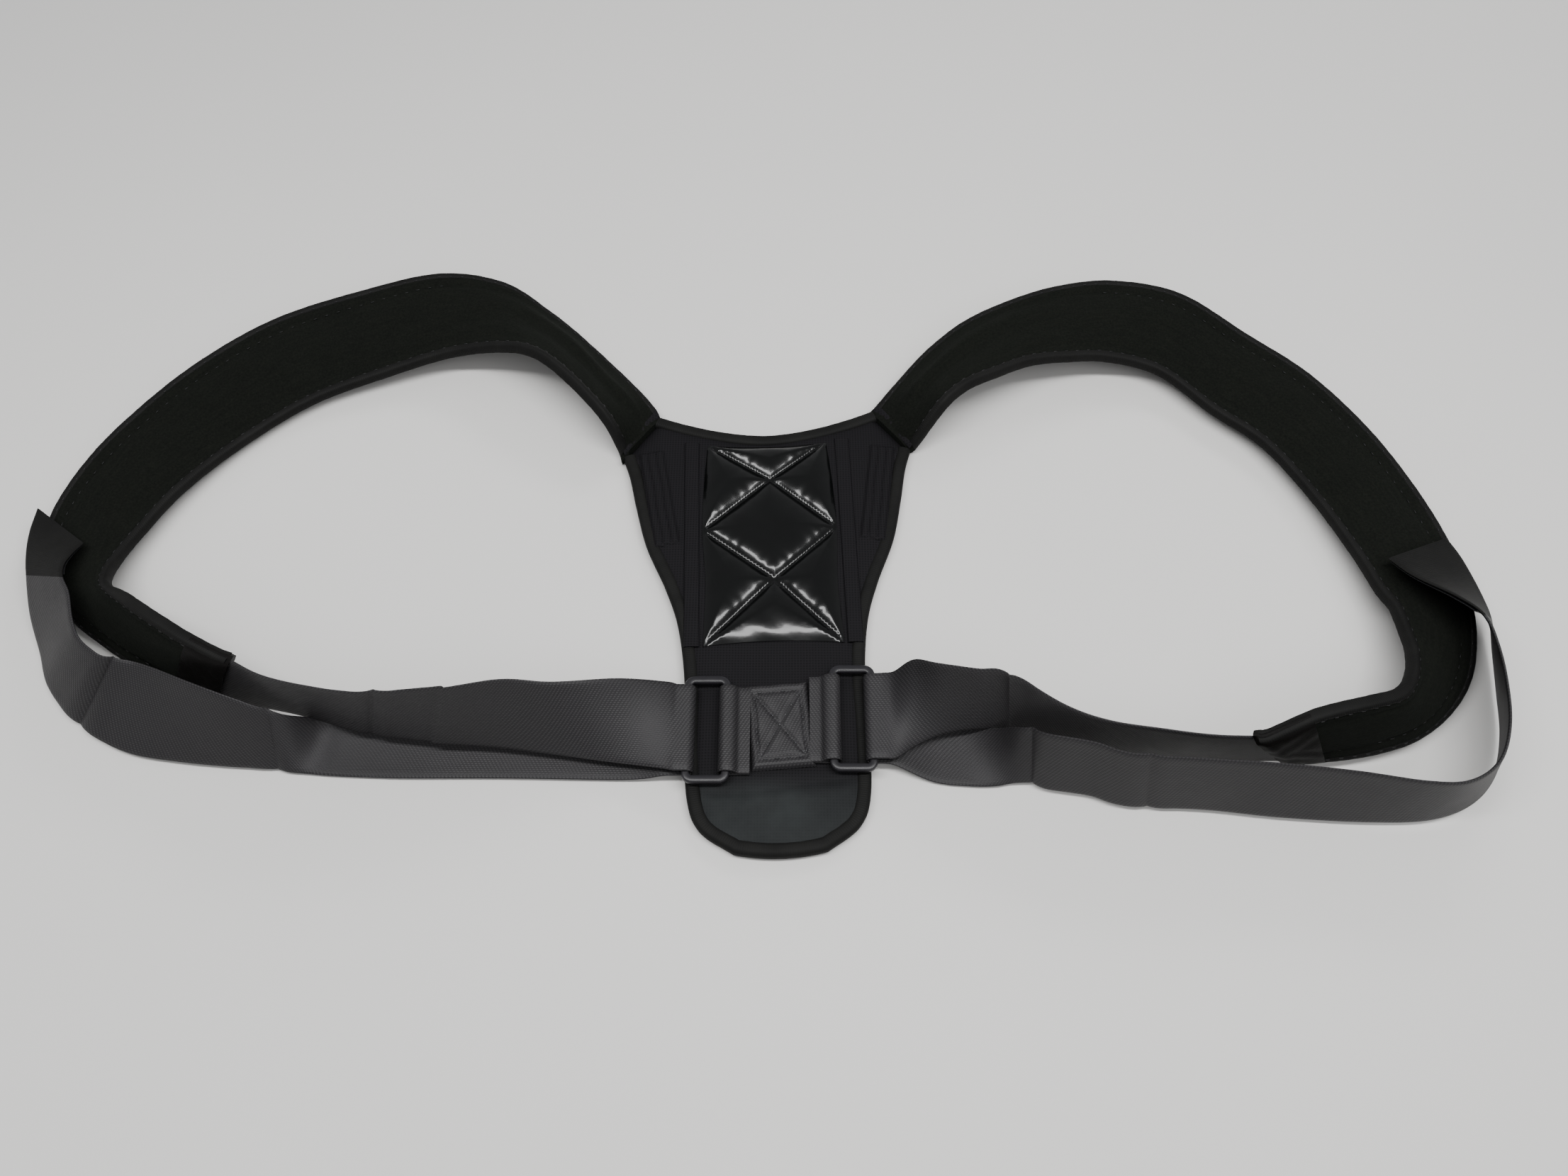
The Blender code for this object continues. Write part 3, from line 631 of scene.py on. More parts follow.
def build_sleeves():
    for side, sign in (("left", -1), ("right", 1)):
        a = np.linspace(-1, 1, 60)[None, :] * SLEEVE_SIZE[0] / 2
        b = np.linspace(-1, 1, 110)[:, None] * SLEEVE_SIZE[1] / 2
        a, b = a + 0 * b, b + 0 * a
        c, s = np.cos(STAY_LEAN), np.sin(STAY_LEAN)
        u, v = sign * (STAY_U + a * c + b * s), STAY_V - a * s + b * c
        rim = np.minimum(SLEEVE_SIZE[0] / 2 - np.abs(a), SLEEVE_SIZE[1] / 2 - np.abs(b))
        ribs = np.abs(np.cos(np.pi * (a + 0.25 * np.sin(b * 0.21)) / CHANNEL_PITCH)) ** 0.7
        z = PANEL_TOP + 0.1 + SLEEVE_RISE * (1 - np.exp(-rim / 0.9)) + 0.8 * ribs * ease(rim, 0, 1.5)
        x, y = panel_xy(u, v)
        top, bottom = np.dstack([x, y, z]), np.dstack([x, y, np.full_like(x, PANEL_TOP - 0.9)])
        sleeve = quilt(f"{side}_stay_cover", top, bottom, np.dstack([b, a]))
        sleeve.data.materials.append(NYLON)
        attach(sleeve, "back_panel")
        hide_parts(f"{side}_stay_sleeve")


build_sleeves()

# ---------------------------------------------------------------------------------------------------------
# Ring anchor: a short run of the strap webbing lies across the panel, turns round the inner bar of each ring
# and is sewn down on itself with a box and a cross.

WEB_WIDTH, WEB_HALF = 45.0, 0.75
ANCHOR_TURN, ANCHOR_CENTRE = np.radians(5.0), (6.0, -57.0)
ANCHOR_HALF = (15.4, 22.3)
BAR_RADIUS, BAR_AIR = 2.0, 0.35


def webbing():
    """Polypropylene webbing: shiny flat yarn in a twill of slanting ribs, with a rounded woven edge."""
    made, tree, shader = new_material("polypropylene_webbing", Roughness=0.5, Specular_IOR_Level=0.2)
    uv = add_node(tree, "ShaderNodeUVMap", uv_map="weave").outputs["UV"]
    place = object_place(tree)
    # Ribs are 1.5 mm apart and slant across the strap; the yarns that cross them are 1.0 mm apart.
    slant = add_node(tree, "ShaderNodeMapping", {"Vector": uv, "Rotation": (0, 0, np.radians(32))}).outputs["Vector"]
    rib = add_node(tree, "ShaderNodeTexWave", {"Vector": slant, "Scale": 2 * np.pi / (1.5 * MM) / 20,
                                               "Distortion": 0.25, "Detail": 1.0},
                   bands_direction="X").outputs["Fac"]
    yarn = add_node(tree, "ShaderNodeTexWave", {"Vector": uv, "Scale": 2 * np.pi / (1.0 * MM) / 20,
                                                "Distortion": 0.4}, bands_direction="Y").outputs["Fac"]
    weave = add_node(tree, "ShaderNodeMath", {0: rib, 1: yarn}, operation="MULTIPLY").outputs[0]
    cloud = add_node(tree, "ShaderNodeTexNoise", {"Vector": place, "Scale": 22.0, "Detail": 4.0,
                                                  "Roughness": 0.6}).outputs["Fac"]
    base = mixed(tree, cloud, "#141314", "#1f1e20")
    tone = add_node(tree, "ShaderNodeMix", {"A": base, "B": linear("#2e2d2e"), "Factor": weave}, data_type="RGBA")
    tree.links.new(tone.outputs["Result"], shader.inputs["Base Color"])
    rough = add_node(tree, "ShaderNodeMapRange", {"Value": cloud, "To Min": 0.42, "To Max": 0.6}).outputs["Result"]
    tree.links.new(rough, shader.inputs["Roughness"])
    fine = add_node(tree, "ShaderNodeBump", {"Height": weave, "Strength": 0.45, "Distance": 0.22 * MM})
    soft = add_node(tree, "ShaderNodeBump", {"Height": cloud, "Strength": 0.35, "Distance": 1.2 * MM,
                                             "Normal": fine.outputs["Normal"]})
    tree.links.new(soft.outputs["Normal"], shader.inputs["Normal"])
    return made


WEBBING = webbing()


def web_section(columns=15):
    """Across (0 to 1) and half-height of a strap's section: flat, with a rounded and slightly thicker selvedge."""
    x = np.sin(np.linspace(-np.pi / 2, np.pi / 2, columns))
    rounded = (1 - np.abs(x) ** 14) ** (1 / 3)
    return (x + 1) / 2, WEB_HALF * (0.18 + 0.82 * rounded) * (1 + 0.16 * bump(np.abs(x), 0.9, 0.07))


def web_band(name, edges, normals, lift=0.0, along=None, section=None, camber=0.0):
    """A woven strap on a ruled surface: its section swept down the rows, with a lift off the surface.

    Edges holds each row's two edge points; camber arches the middle of the strap up by that much.
    """
    a, half = section or web_section()
    across = edges[:, :1] * (1 - a)[None, :, None] + edges[:, 1:] * a[None, :, None]
    rise = lift if np.ndim(lift) else np.full(len(edges), float(lift))
    arch = camber * (1 - (2 * a - 1) ** 2)
    top = across + (rise[:, None] + arch + half)[:, :, None] * normals[:, None]
    bottom = across + (rise[:, None] + arch - half)[:, :, None] * normals[:, None]
    if along is None:
        step = np.linalg.norm(np.diff(edges.mean(1), axis=0), axis=1)
        along = np.concatenate([[0], np.cumsum(step)])
    width = np.linalg.norm(edges[:, 1] - edges[:, 0], axis=1).mean()
    uv = np.dstack(np.broadcast_arrays(along[:, None], (a * width)[None, :]))
    band = quilt(name, top, bottom, uv, sharp=50.0)
    band.data.materials.append(WEBBING)
    return band


def ring_bars(side):
    """Middle of the ring, its height, its half depth and half length, and the x of its inner and outer bars."""
    low, high = (np.array(c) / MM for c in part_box(f"{side}_ring"))
    middle, half = (low + high) / 2, (high - low) / 2
    sign = -1 if middle[0] < 0 else 1
    return middle, half, middle[0] - sign * (half[0] - BAR_RADIUS), middle[0] + sign * (half[0] - BAR_RADIUS), sign


def bar_turn(bar_x, bar_z, outward, start, end, steps=14):
    """Points of a webbing's middle line round a bar; 0 degrees is straight outward."""
    radius = BAR_RADIUS + BAR_AIR + WEB_HALF
    turn = np.radians(np.linspace(start, end, steps))
    return [(bar_x + outward * radius * np.cos(t), bar_z + radius * np.sin(t)) for t in turn]


def flat_band(path, y):
    """Edge pairs of a strap that bends only in the x-z plane, and its row normals."""
    path = even(smooth_path(path, 4), 0.9)
    edges = np.stack([np.column_stack([path[:, 0], np.full(len(path), y + s * WEB_WIDTH / 2), path[:, 1]])
                      for s in (-1, 1)], axis=1)
    ahead = unit(np.gradient(path, axis=0))
    normals = np.column_stack([-ahead[:, 1], np.zeros(len(path)), ahead[:, 0]])
    return edges, normals


SEWN_BOX = (11.5, 17.5)  # half the width and height of the box stitch


def anchor_xy(a, b):
    c, s = np.cos(ANCHOR_TURN), np.sin(ANCHOR_TURN)
    return ANCHOR_CENTRE[0] + a * c - b * s, ANCHOR_CENTRE[1] + a * s + b * c


def build_anchor():
    """The sewn block between the rings, and one loop of webbing round each ring's inner bar."""
    a = np.linspace(-1, 1, 46)[None, :] * ANCHOR_HALF[0]
    b = np.linspace(-1, 1, 60)[:, None] * ANCHOR_HALF[1]
    a, b = a + 0 * b, b + 0 * a
    rim = np.minimum(ANCHOR_HALF[0] - np.abs(a), ANCHOR_HALF[1] - np.abs(b))
    box = np.maximum(np.abs(a) / SEWN_BOX[0], np.abs(b) / SEWN_BOX[1])
    seam = bump(box, 1.0, 0.07)
    cross = np.minimum(np.abs(a / SEWN_BOX[0] - b / SEWN_BOX[1]), np.abs(a / SEWN_BOX[0] + b / SEWN_BOX[1]))
    seam = np.maximum(seam, bump(cross, 0, 0.10) * (box < 1.0))
    z = PANEL_TOP + 0.9 + 3.1 * (1 - np.exp(-rim / 0.9)) - 1.0 * seam + 0.25 * np.sin(a * 0.5) * np.sin(b * 0.33)
    x, y = anchor_xy(a, b)
    top, bottom = np.dstack([x, y, z]), np.dstack([x, y, np.full_like(x, PANEL_TOP - 0.4)])
    block = quilt("anchor_block", top, bottom, np.dstack([a, b]), sharp=60.0)
    block.data.materials.append(WEBBING)
    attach(block, "back_panel")
    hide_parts("anchor_base", "anchor_patch")
    w, h = SEWN_BOX
    corners = [(-w, -h), (w, -h), (w, h), (-w, h)]
    lines = [(corners[i], corners[(i + 1) % 4]) for i in range(4)]
    lines += [(corners[0], corners[2]), (corners[1], corners[3])]
    rows = []
    for i, line in enumerate(lines):
        path = even(np.array(line, float), 1.0)
        px, py = anchor_xy(*path.T)
        path = np.column_stack([px, py, np.full(len(px), PANEL_TOP + 3.25)])
        rows.append(stitches(f"anchor_row_{i}", path, np.tile([0, 0, 1.0], (len(px), 1)), radius=0.38, pitch=3.0,
                             length=2.4, material=PALE_THREAD))
    sewn = joined("anchor_stitching", rows)
    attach(sewn, "back_panel")
    for side in ("left", "right"):
        middle, _, inner, _, sign = ring_bars(side)
        foot = inner - sign * 11.5
        path = [(foot, 7.9), (inner - sign * 7, 7.7), (inner - sign * 3.6, 7.5),
                *bar_turn(inner, middle[2], sign, -90, 90), (inner - sign * 3.3, middle[2] + 2.3),
                (inner - sign * 5.4, 10.3), (inner - sign * 8.0, 9.6), (foot, 9.5)]
        edges, normals = flat_band(path, middle[1])
        loop = web_band(f"{side}_anchor_web", edges, normals)
        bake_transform(loop)
        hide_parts(f"{side}_anchor_loop")


def pale_thread():
    """Polyester thread, undyed grey-black: its satin strands catch the light on the box and cross."""
    made, tree, shader = new_material("satin_polyester_thread", Roughness=0.4, Specular_IOR_Level=0.3)
    place = object_place(tree)
    twist = noise(tree, place, 800.0, 2.0)
    tone = mixed(tree, twist, "#19191a", "#333335")
    tree.links.new(tone, shader.inputs["Base Color"])
    return made


PALE_THREAD = pale_thread()
build_anchor()

# ---------------------------------------------------------------------------------------------------------
# Rings: a pair of moulded rectangular loops that join each strap to the anchor. Each has softly rounded bars
# and corners.

RING_CORNER, RING_POWER = 3.2, 3.2


def acetal():
    """Moulded acetal: black, satin, with faint flow marks, and a painted highlight that colours its convex edges
    brighter.
    """
    made, tree, shader = new_material("moulded_acetal", Roughness=0.34, IOR=1.48,
                                      Specular_IOR_Level=0.3)
    place = object_place(tree)
    flow = noise(tree, place, 120.0, 3.0)
    # Painted highlight: the sharp convex edges of the bars, found by pointiness, are coloured lighter.
    wear_and_highlight = add_node(tree, "ShaderNodeNewGeometry").outputs["Pointiness"]
    edge = add_node(tree, "ShaderNodeMapRange", {"Value": wear_and_highlight, "From Min": 0.5, "From Max": 0.62}).outputs["Result"]
    tone = mixed(tree, edge, "#111013", "#2a292c")
    tree.links.new(tone, shader.inputs["Base Color"])
    rough = add_node(tree, "ShaderNodeMapRange", {"Value": flow, "To Min": 0.26, "To Max": 0.44}).outputs["Result"]
    tree.links.new(rough, shader.inputs["Roughness"])
    grain = add_node(tree, "ShaderNodeBump", {"Height": flow, "Strength": 0.15, "Distance": 0.2 * MM})
    tree.links.new(grain.outputs["Normal"], shader.inputs["Normal"])
    return made


def build_rings():
    plastic = acetal()
    for side in ("left", "right"):
        middle, half, _, _, _ = ring_bars(side)
        hx, hy = half[0] - BAR_RADIUS, half[1] - BAR_RADIUS
        turn = np.linspace(0, np.pi / 2, 7)
        outline = np.concatenate([
            np.column_stack([sx * (hx - RING_CORNER) + RING_CORNER * np.cos(turn + k * np.pi / 2),
                             sy * (hy - RING_CORNER) + RING_CORNER * np.sin(turn + k * np.pi / 2)])
            for k, (sx, sy) in enumerate(((1, 1), (-1, 1), (-1, -1), (1, -1)))])
        outline = even(np.concatenate([outline, outline[:1]]), 0.9)[:-1]
        centres = np.column_stack([outline + middle[:2], np.full(len(outline), middle[2])])
        ahead = unit(np.roll(centres, -1, 0) - np.roll(centres, 1, 0))
        up = np.tile([0.0, 0.0, 1.0], (len(centres), 1))
        ring = tube(f"{side}_ring_frame", centres, np.cross(ahead, up), up, 2.05, 1.95, RING_POWER, 20, closed=True)
        ring.data.materials.append(plastic)
        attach(ring, f"{side}_buckle")
        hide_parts(f"{side}_ring")


build_rings()

# ---------------------------------------------------------------------------------------------------------
# Shoulder pads: foam laminated between brushed loop fabric and mesh. Tape is sewn on along both edges, and one
# more row of stitching runs inside the outer edge. Each is sewn to a shoulder of the panel.
# A station is the pad's outer edge and its inner edge.

LEFT_PAD = [
    ((-63.1, 134.7, 3.6), (-82.7, 106.1, 3.6)),
    ((-66.3, 140, 4), (-83.5, 109.5, 8)),
    ((-80, 155, 6), (-91, 118, 26)),
    ((-108, 184, 9), (-113, 141, 33)),
    ((-130, 204, 12), (-132, 156, 34)),
    ((-158, 224, 16), (-154, 165, 27)),
    ((-196, 230, 18), (-184, 168, 18)),
    ((-240, 217, 18), (-219, 159, 12)),
    ((-290, 196, 16), (-260, 142, 8)),
    ((-330, 163, 14), (-294, 113, 7)),
    ((-360, 124, 12), (-318, 80, 10)),
    ((-376, 92, 11), (-332, 50, 12)),
    ((-384, 62, 9), (-336, 33, 16)),
    ((-381, 38, 7), (-335, 20, 22)),
    ((-371, 17, 6), (-330, 11, 29)),
    ((-355, 2, 6), (-321, 3, 38)),
    ((-336, -11, 6), (-309, -6, 46)),
    ((-315, -24, 6), (-292, -18, 51)),
    ((-295, -34, 6), (-272, -30, 50)),
    ((-278.5, -40.2, 6), (-256.5, -37.2, 47)),
    ((-273.6, -41.9, 6.2), (-251.5, -39.0, 47)),
]
RIGHT_PAD = [
    ((58.5, 139.0, 3.6), (80.0, 111.9, 3.6)),
    ((62.6, 143.5, 4), (82.5, 113, 8)),
    ((76, 158, 8), (96, 124, 28)),
    ((92, 176, 12), (109, 135, 31)),
    ((114, 195, 15), (126, 145, 29)),
    ((143, 211, 16), (147, 156, 26)),
    ((172, 222, 16), (170, 162, 22)),
    ((205, 226, 16), (194, 165, 18)),
    ((243, 217, 15), (223, 159, 13)),
    ((278, 188, 12), (249, 133, 11)),
    ((309, 160, 10), (273, 110, 11)),
    ((334, 122, 9), (292, 76, 11)),
    ((350, 82, 9), (305, 40, 13)),
    ((359, 46, 9), (311, 14, 16)),
    ((361, 18, 9), (314, 3, 19)),
    ((358, -8, 8), (314, -11, 22)),
    ((349, -32, 7), (312, -26, 27)),
    ((334, -50, 6), (305, -42, 34)),
    ((314, -63, 6), (293, -55, 43)),
    ((291, -70, 6), (274, -62, 48)),
    ((270, -73, 6), (251, -68, 48)),
    ((256.5, -73.9, 6), (228.5, -76.6, 43)),
    ((251.5, -74.2, 6.2), (223.5, -77.2, 43)),
]
PAD_HALF, PAD_CROWN = 2.9, 0.5
PAD_SPACING = 2.3
PAD_BINDING = (2.5, 3.3)
CHANNEL_IN = 10.5
PUFF_PRESSURE, PUFF_CAP, PUFF_FRAMES = 3.0, 1.6, 20


def softened(rows, passes):
    """Rows averaged with their neighbours, 1-2-1, several times; the ends stay."""
    for _ in range(passes):
        rows = np.concatenate([rows[:1], (rows[:-2] + 2 * rows[1:-1] + rows[2:]) / 4, rows[-1:]])
    return rows


def row_normals(edges, passes=6):
    """One unit normal for each pair of edge points: the mean of the two edges' own normals, softened."""
    across = (edges[:, 1] - edges[:, 0])[:, None]
    normals = unit(np.cross(np.gradient(edges, axis=0), across)).sum(1)
    return unit(softened(unit(normals), passes))


def pad_rows(stations):
    """The pad's edge pairs at even spacing, its normals towards the wearer's far side, and its run length."""
    path = np.array(stations, float)
    back = (path[1] - path[0]) * (1, 1, 0)
    first = path[0] - unit(back) * 3.0
    edges = even(smooth_path(np.concatenate([[first], path]), 8), PAD_SPACING)
    normals = row_normals(edges)
    if normals.sum(0) @ (0, -0.5, 0.87) < 0:
        normals = -normals
    run = np.arange(len(edges)) * PAD_SPACING
    return edges, normals, run


def puff(obj, held, pressure, cap):
    """Lets a closed form swell like a stuffed pad: cloth under pressure, held at its sewn points.

    No point ends further than cap from where it began. The result is written into the mesh.
    """
    mesh = obj.data
    start = np.zeros(len(mesh.vertices) * 3)
    mesh.vertices.foreach_get("co", start)
    group = obj.vertex_groups.new(name="sewn")
    group.add([int(i) for i in held], 1.0, "REPLACE")
    cloth = obj.modifiers.new("stuffing", "CLOTH")
    cloth.settings.use_pressure = True
    cloth.settings.uniform_pressure_force = pressure
    cloth.settings.vertex_group_mass = "sewn"
    cloth.settings.effector_weights.gravity = 0.0
    cloth.settings.tension_stiffness = cloth.settings.compression_stiffness = 12.0
    cloth.settings.bending_stiffness = 0.4
    cloth.point_cache.frame_start, cloth.point_cache.frame_end = 1, PUFF_FRAMES
    scene = bpy.context.scene
    for number in range(1, PUFF_FRAMES + 1):
        scene.frame_set(number)
    swollen = obj.evaluated_get(bpy.context.evaluated_depsgraph_get()).to_mesh()
    end = np.zeros(len(mesh.vertices) * 3)
    swollen.vertices.foreach_get("co", end)
    scene.frame_set(1)
    obj.modifiers.remove(cloth)
    obj.vertex_groups.remove(group)
    move = (end - start).reshape(-1, 3)
    length = np.linalg.norm(move, axis=1, keepdims=True)
    move *= np.minimum(1, cap * MM / np.maximum(length, 1e-9))
    mesh.vertices.foreach_set("co", start + np.nan_to_num(move).ravel())
    mesh.update()


def loop_fabric():
    """Brushed nylon loop cloth: matt greenish black, a short soft pile in darker tufts, with faint brushed streaks."""
    made, tree, shader = new_material("brushed_nylon_loop", Roughness=0.95, Sheen_Weight=0.05, Sheen_Roughness=0.6,
                                      Specular_IOR_Level=0.06)
    shader.inputs["Sheen Tint"].default_value = linear("#5d645c")
    uv = add_node(tree, "ShaderNodeUVMap", uv_map="weave").outputs["UV"]
    place = object_place(tree)
    long = add_node(tree, "ShaderNodeMapping", {"Vector": uv, "Scale": (60.0, 420.0, 1.0)}).outputs["Vector"]
    streak = add_node(tree, "ShaderNodeTexNoise", {"Vector": long, "Scale": 1.0, "Detail": 5.0,
                                                   "Roughness": 0.6}).outputs["Fac"]
    # The pile stands in tufts about 1 mm across.
    pile = noise(tree, place, 850.0, 3.0)
    cloud = noise(tree, place, 16.0, 3.0)
    base = mixed(tree, cloud, "#080a08", "#0f110f")
    tone = add_node(tree, "ShaderNodeMix", {"A": base, "B": linear("#181915"), "Factor": streak}, data_type="RGBA",
                    blend_type="MIX").outputs["Result"]
    tuft = add_node(tree, "ShaderNodeMix", {"A": tone, "B": linear("#040504"), "Factor": pile}, data_type="RGBA")
    tree.links.new(tuft.outputs["Result"], shader.inputs["Base Color"])
    fine = add_node(tree, "ShaderNodeBump", {"Height": pile, "Strength": 0.6, "Distance": 0.35 * MM})
    soft = add_node(tree, "ShaderNodeBump", {"Height": streak, "Strength": 0.4, "Distance": 0.5 * MM,
                                             "Normal": fine.outputs["Normal"]})
    tree.links.new(soft.outputs["Normal"], shader.inputs["Normal"])
    return made


def blended(piece):
    """Bakes a shoulder piece's placement into its mesh."""
    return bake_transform(piece)


LOOP = loop_fabric()


def build_pad(side, stations):
    """One pad: its closed padded form, the tape on each edge, the stitching, and the shoulder seam."""
    edges, normals, run = pad_rows(stations)
    a = (1 - np.cos(np.linspace(0, np.pi, 28))) / 2 * 0.5 + np.linspace(0, 1, 28) * 0.5
    width = np.linalg.norm(edges[:, 1] - edges[:, 0], axis=1)[:, None]
    from_outer, from_inner = a * width, (1 - a) * width
    rim = np.minimum(from_outer, from_inner)
    line = np.minimum(np.abs(from_outer - CHANNEL_IN), np.abs(from_inner - CHANNEL_IN + 1.5))
    s = run[:, None]
    neck = 1 - ease(s, 70, 150)
    body = PAD_HALF * (0.62 + 0.38 * (1 - np.exp(-rim / 4))) + PAD_CROWN * (1 - (2 * a - 1) ** 2)
    dip = 1.1 * np.exp(-((line / 1.3) ** 2)) * (1 - neck)
    folds = neck * ease(s, 8, 30) * (1.7 * bump(a, 0.36 + 0.05 * np.sin(s / 21), 0.09) - 1.0 * bump(a, 0.55, 0.1))
    slack = 0.35 * np.sin(s / 13 + 3 * a) * np.sin(s / 31 + 1) + 0.2 * np.sin(s / 5.5 + 9 * a)
    up, down = body - dip + folds + slack * ease(rim, 0, 12), body - 0.6 * dip
    across = edges[:, :1] * (1 - a)[None, :, None] + edges[:, 1:] * a[None, :, None]
    top = across + up[:, :, None] * normals[:, None]
    bottom = across - down[:, :, None] * normals[:, None]
    pad = quilt(f"{side}_pad_body", top, bottom, np.dstack(np.broadcast_arrays(s, from_outer)), sharp=70.0)
    pad.data.materials.append(LOOP)
    pad.data.materials.append(MESH)
    count = up.size
    for face in pad.data.polygons:
        face.material_index = int(min(face.vertices) >= count)
    held = np.flatnonzero(np.tile(((rim < 3.0) | (line < 1.2) | (neck > 0.6)).ravel(), 2))
    puff(pad, held, PUFF_PRESSURE, PUFF_CAP)
    blended(pad)
    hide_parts(f"{side}_pad_cover", f"{side}_pad_foam", f"{side}_pad_lining")
    inward = unit(edges[:, 1] - edges[:, 0])
    rows = []
    for word, edge, turn in (("outer", edges[:, 0], 1), ("inner", edges[:, 1], -1)):
        pucker = (0.12 * np.sin(run * 0.9) + 0.1 * np.sin(run * 0.37 + 1))[:, None]
        centres = (edge + turn * inward * (PAD_BINDING[0] - 0.2) + pucker * normals * 0.5)[2:]
        tape = tube(f"{side}_pad_{word}_tape", centres, inward[2:], normals[2:], *PAD_BINDING, power=3.0)
        tape.data.materials.append(TAPE)
        blended(tape)
        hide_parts(f"{side}_pad_{word}_binding")
        for face, sign in (("top", 1), ("under", -1)):
            path = (edge + turn * inward * 3.7 + sign * normals * (PAD_BINDING[1] - 0.18))[4:-8]
            rows.append(stitches(f"{word}_{face}", path, sign * normals[4:-8], radius=0.3))
    path = (edges[:, 0] + inward * CHANNEL_IN + normals * (PAD_HALF + PAD_CROWN * 0.5 - 0.85))[66:-10]
    rows.append(stitches("quilting", path, normals[66:-10], radius=0.26))
    blended(joined(f"{side}_pad_stitching", rows))
    build_shoulder_seam(side, edges, normals)
    return edges, normals


def build_shoulder_seam(side, edges, normals):
    """A flat felled seam across the pad's first rows: a low welt."""
    t = np.linspace(0.03, 0.97, 26)[:, None]
    line = edges[2, :1] * (1 - t) + edges[2, 1:] * t
    ahead = np.tile(unit((edges[5] - edges[1]).mean(0)), (len(line), 1))
    lift = np.tile(unit(normals[:5].sum(0)), (len(line), 1))
    gathered = 0.12 * np.sin(np.arange(len(line)) * 1.9)[:, None]
    welt = tube(f"{side}_shoulder_welt", line + lift * (PAD_HALF + 0.1 + gathered), ahead, lift, 2.4, 0.5, power=2.4)
    welt.data.materials.append(NYLON)
    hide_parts(f"{side}_shoulder_seam")
    blended(welt)


PAD_ROWS = {"left": build_pad("left", LEFT_PAD), "right": build_pad("right", RIGHT_PAD)}

# ---------------------------------------------------------------------------------------------------------
# Tip patches: the end of each pad is closed by a sleeve of thin leathercloth, folded over the sewn-in strap.

TIP_LENGTH, TIP_HALF = 24.0, 4.5


def leathercloth():
    """Leathercloth: brownish black coated cloth with a pebble grain and a low sheen."""
    made, tree, shader = new_material("pebbled_leathercloth", Roughness=0.55, Specular_IOR_Level=0.08)
    place = object_place(tree)
    # Pebbles are 1.1 mm across.
    pebble = add_node(tree, "ShaderNodeTexVoronoi", {"Vector": place, "Scale": 1 / (1.1 * MM)}).outputs["Distance"]
    cloud = noise(tree, place, 45.0, 4.0)
    tone = mixed(tree, cloud, "#060505", "#0d0c0b")
    tree.links.new(tone, shader.inputs["Base Color"])
    grain = add_node(tree, "ShaderNodeBump", {"Height": pebble, "Strength": 0.3, "Distance": 0.2 * MM})
    tree.links.new(grain.outputs["Normal"], shader.inputs["Normal"])
    return made


def build_tip(side, leather):
    edges, normals = PAD_ROWS[side]
    keep = int(TIP_LENGTH / PAD_SPACING)
    edges, normals = edges[-keep:], normals[-keep:]
    ahead = unit(edges[-1].mean(0) - edges[-2].mean(0))
    edges = np.concatenate([edges, edges[-1:] + ahead * 2.4])
    normals = np.concatenate([normals, normals[-1:]])
    s = np.linspace(0, 1, len(edges))[:, None]
    a = np.linspace(-0.012, 1.012, 26)
    across = edges[:, :1] * (1 - a)[None, :, None] + edges[:, 1:] * a[None, :, None]
    x = np.abs(2 * np.linspace(0, 1, 26) - 1)
    half = TIP_HALF * (1 - 0.9 * x**12) * (1 - 0.2 * ease(s, 0.8, 1.0)) * (0.94 + 0.06 * ease(s, 0, 0.08))
    half = half + 0.22 * np.sin(9 * s + 14 * x) * (1 - x**4) - 0.35 * bump(s, 0.6, 0.035) * (x < 0.85)
    sleeve = quilt(f"{side}_tip_sleeve", across + half[:, :, None] * normals[:, None],
                   across - half[:, :, None] * normals[:, None],
                   np.dstack(np.broadcast_arrays(s * TIP_LENGTH, a * 46)), sharp=60.0)
    sleeve.data.materials.append(leather)
    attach(sleeve, f"{side}_wing")
    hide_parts(f"{side}_tip_binding")


leather = leathercloth()
build_tip("left", leather)
build_tip("right", leather)

# ---------------------------------------------------------------------------------------------------------
# Straps: one length of webbing on each side. It leaves the pad's tip, runs to the ring, turns round its outer
# bar and comes back under itself; its tail turns up round the arm loop's end and fastens on the pad with a
# hook patch. A station is the strap's lower edge and its upper edge.

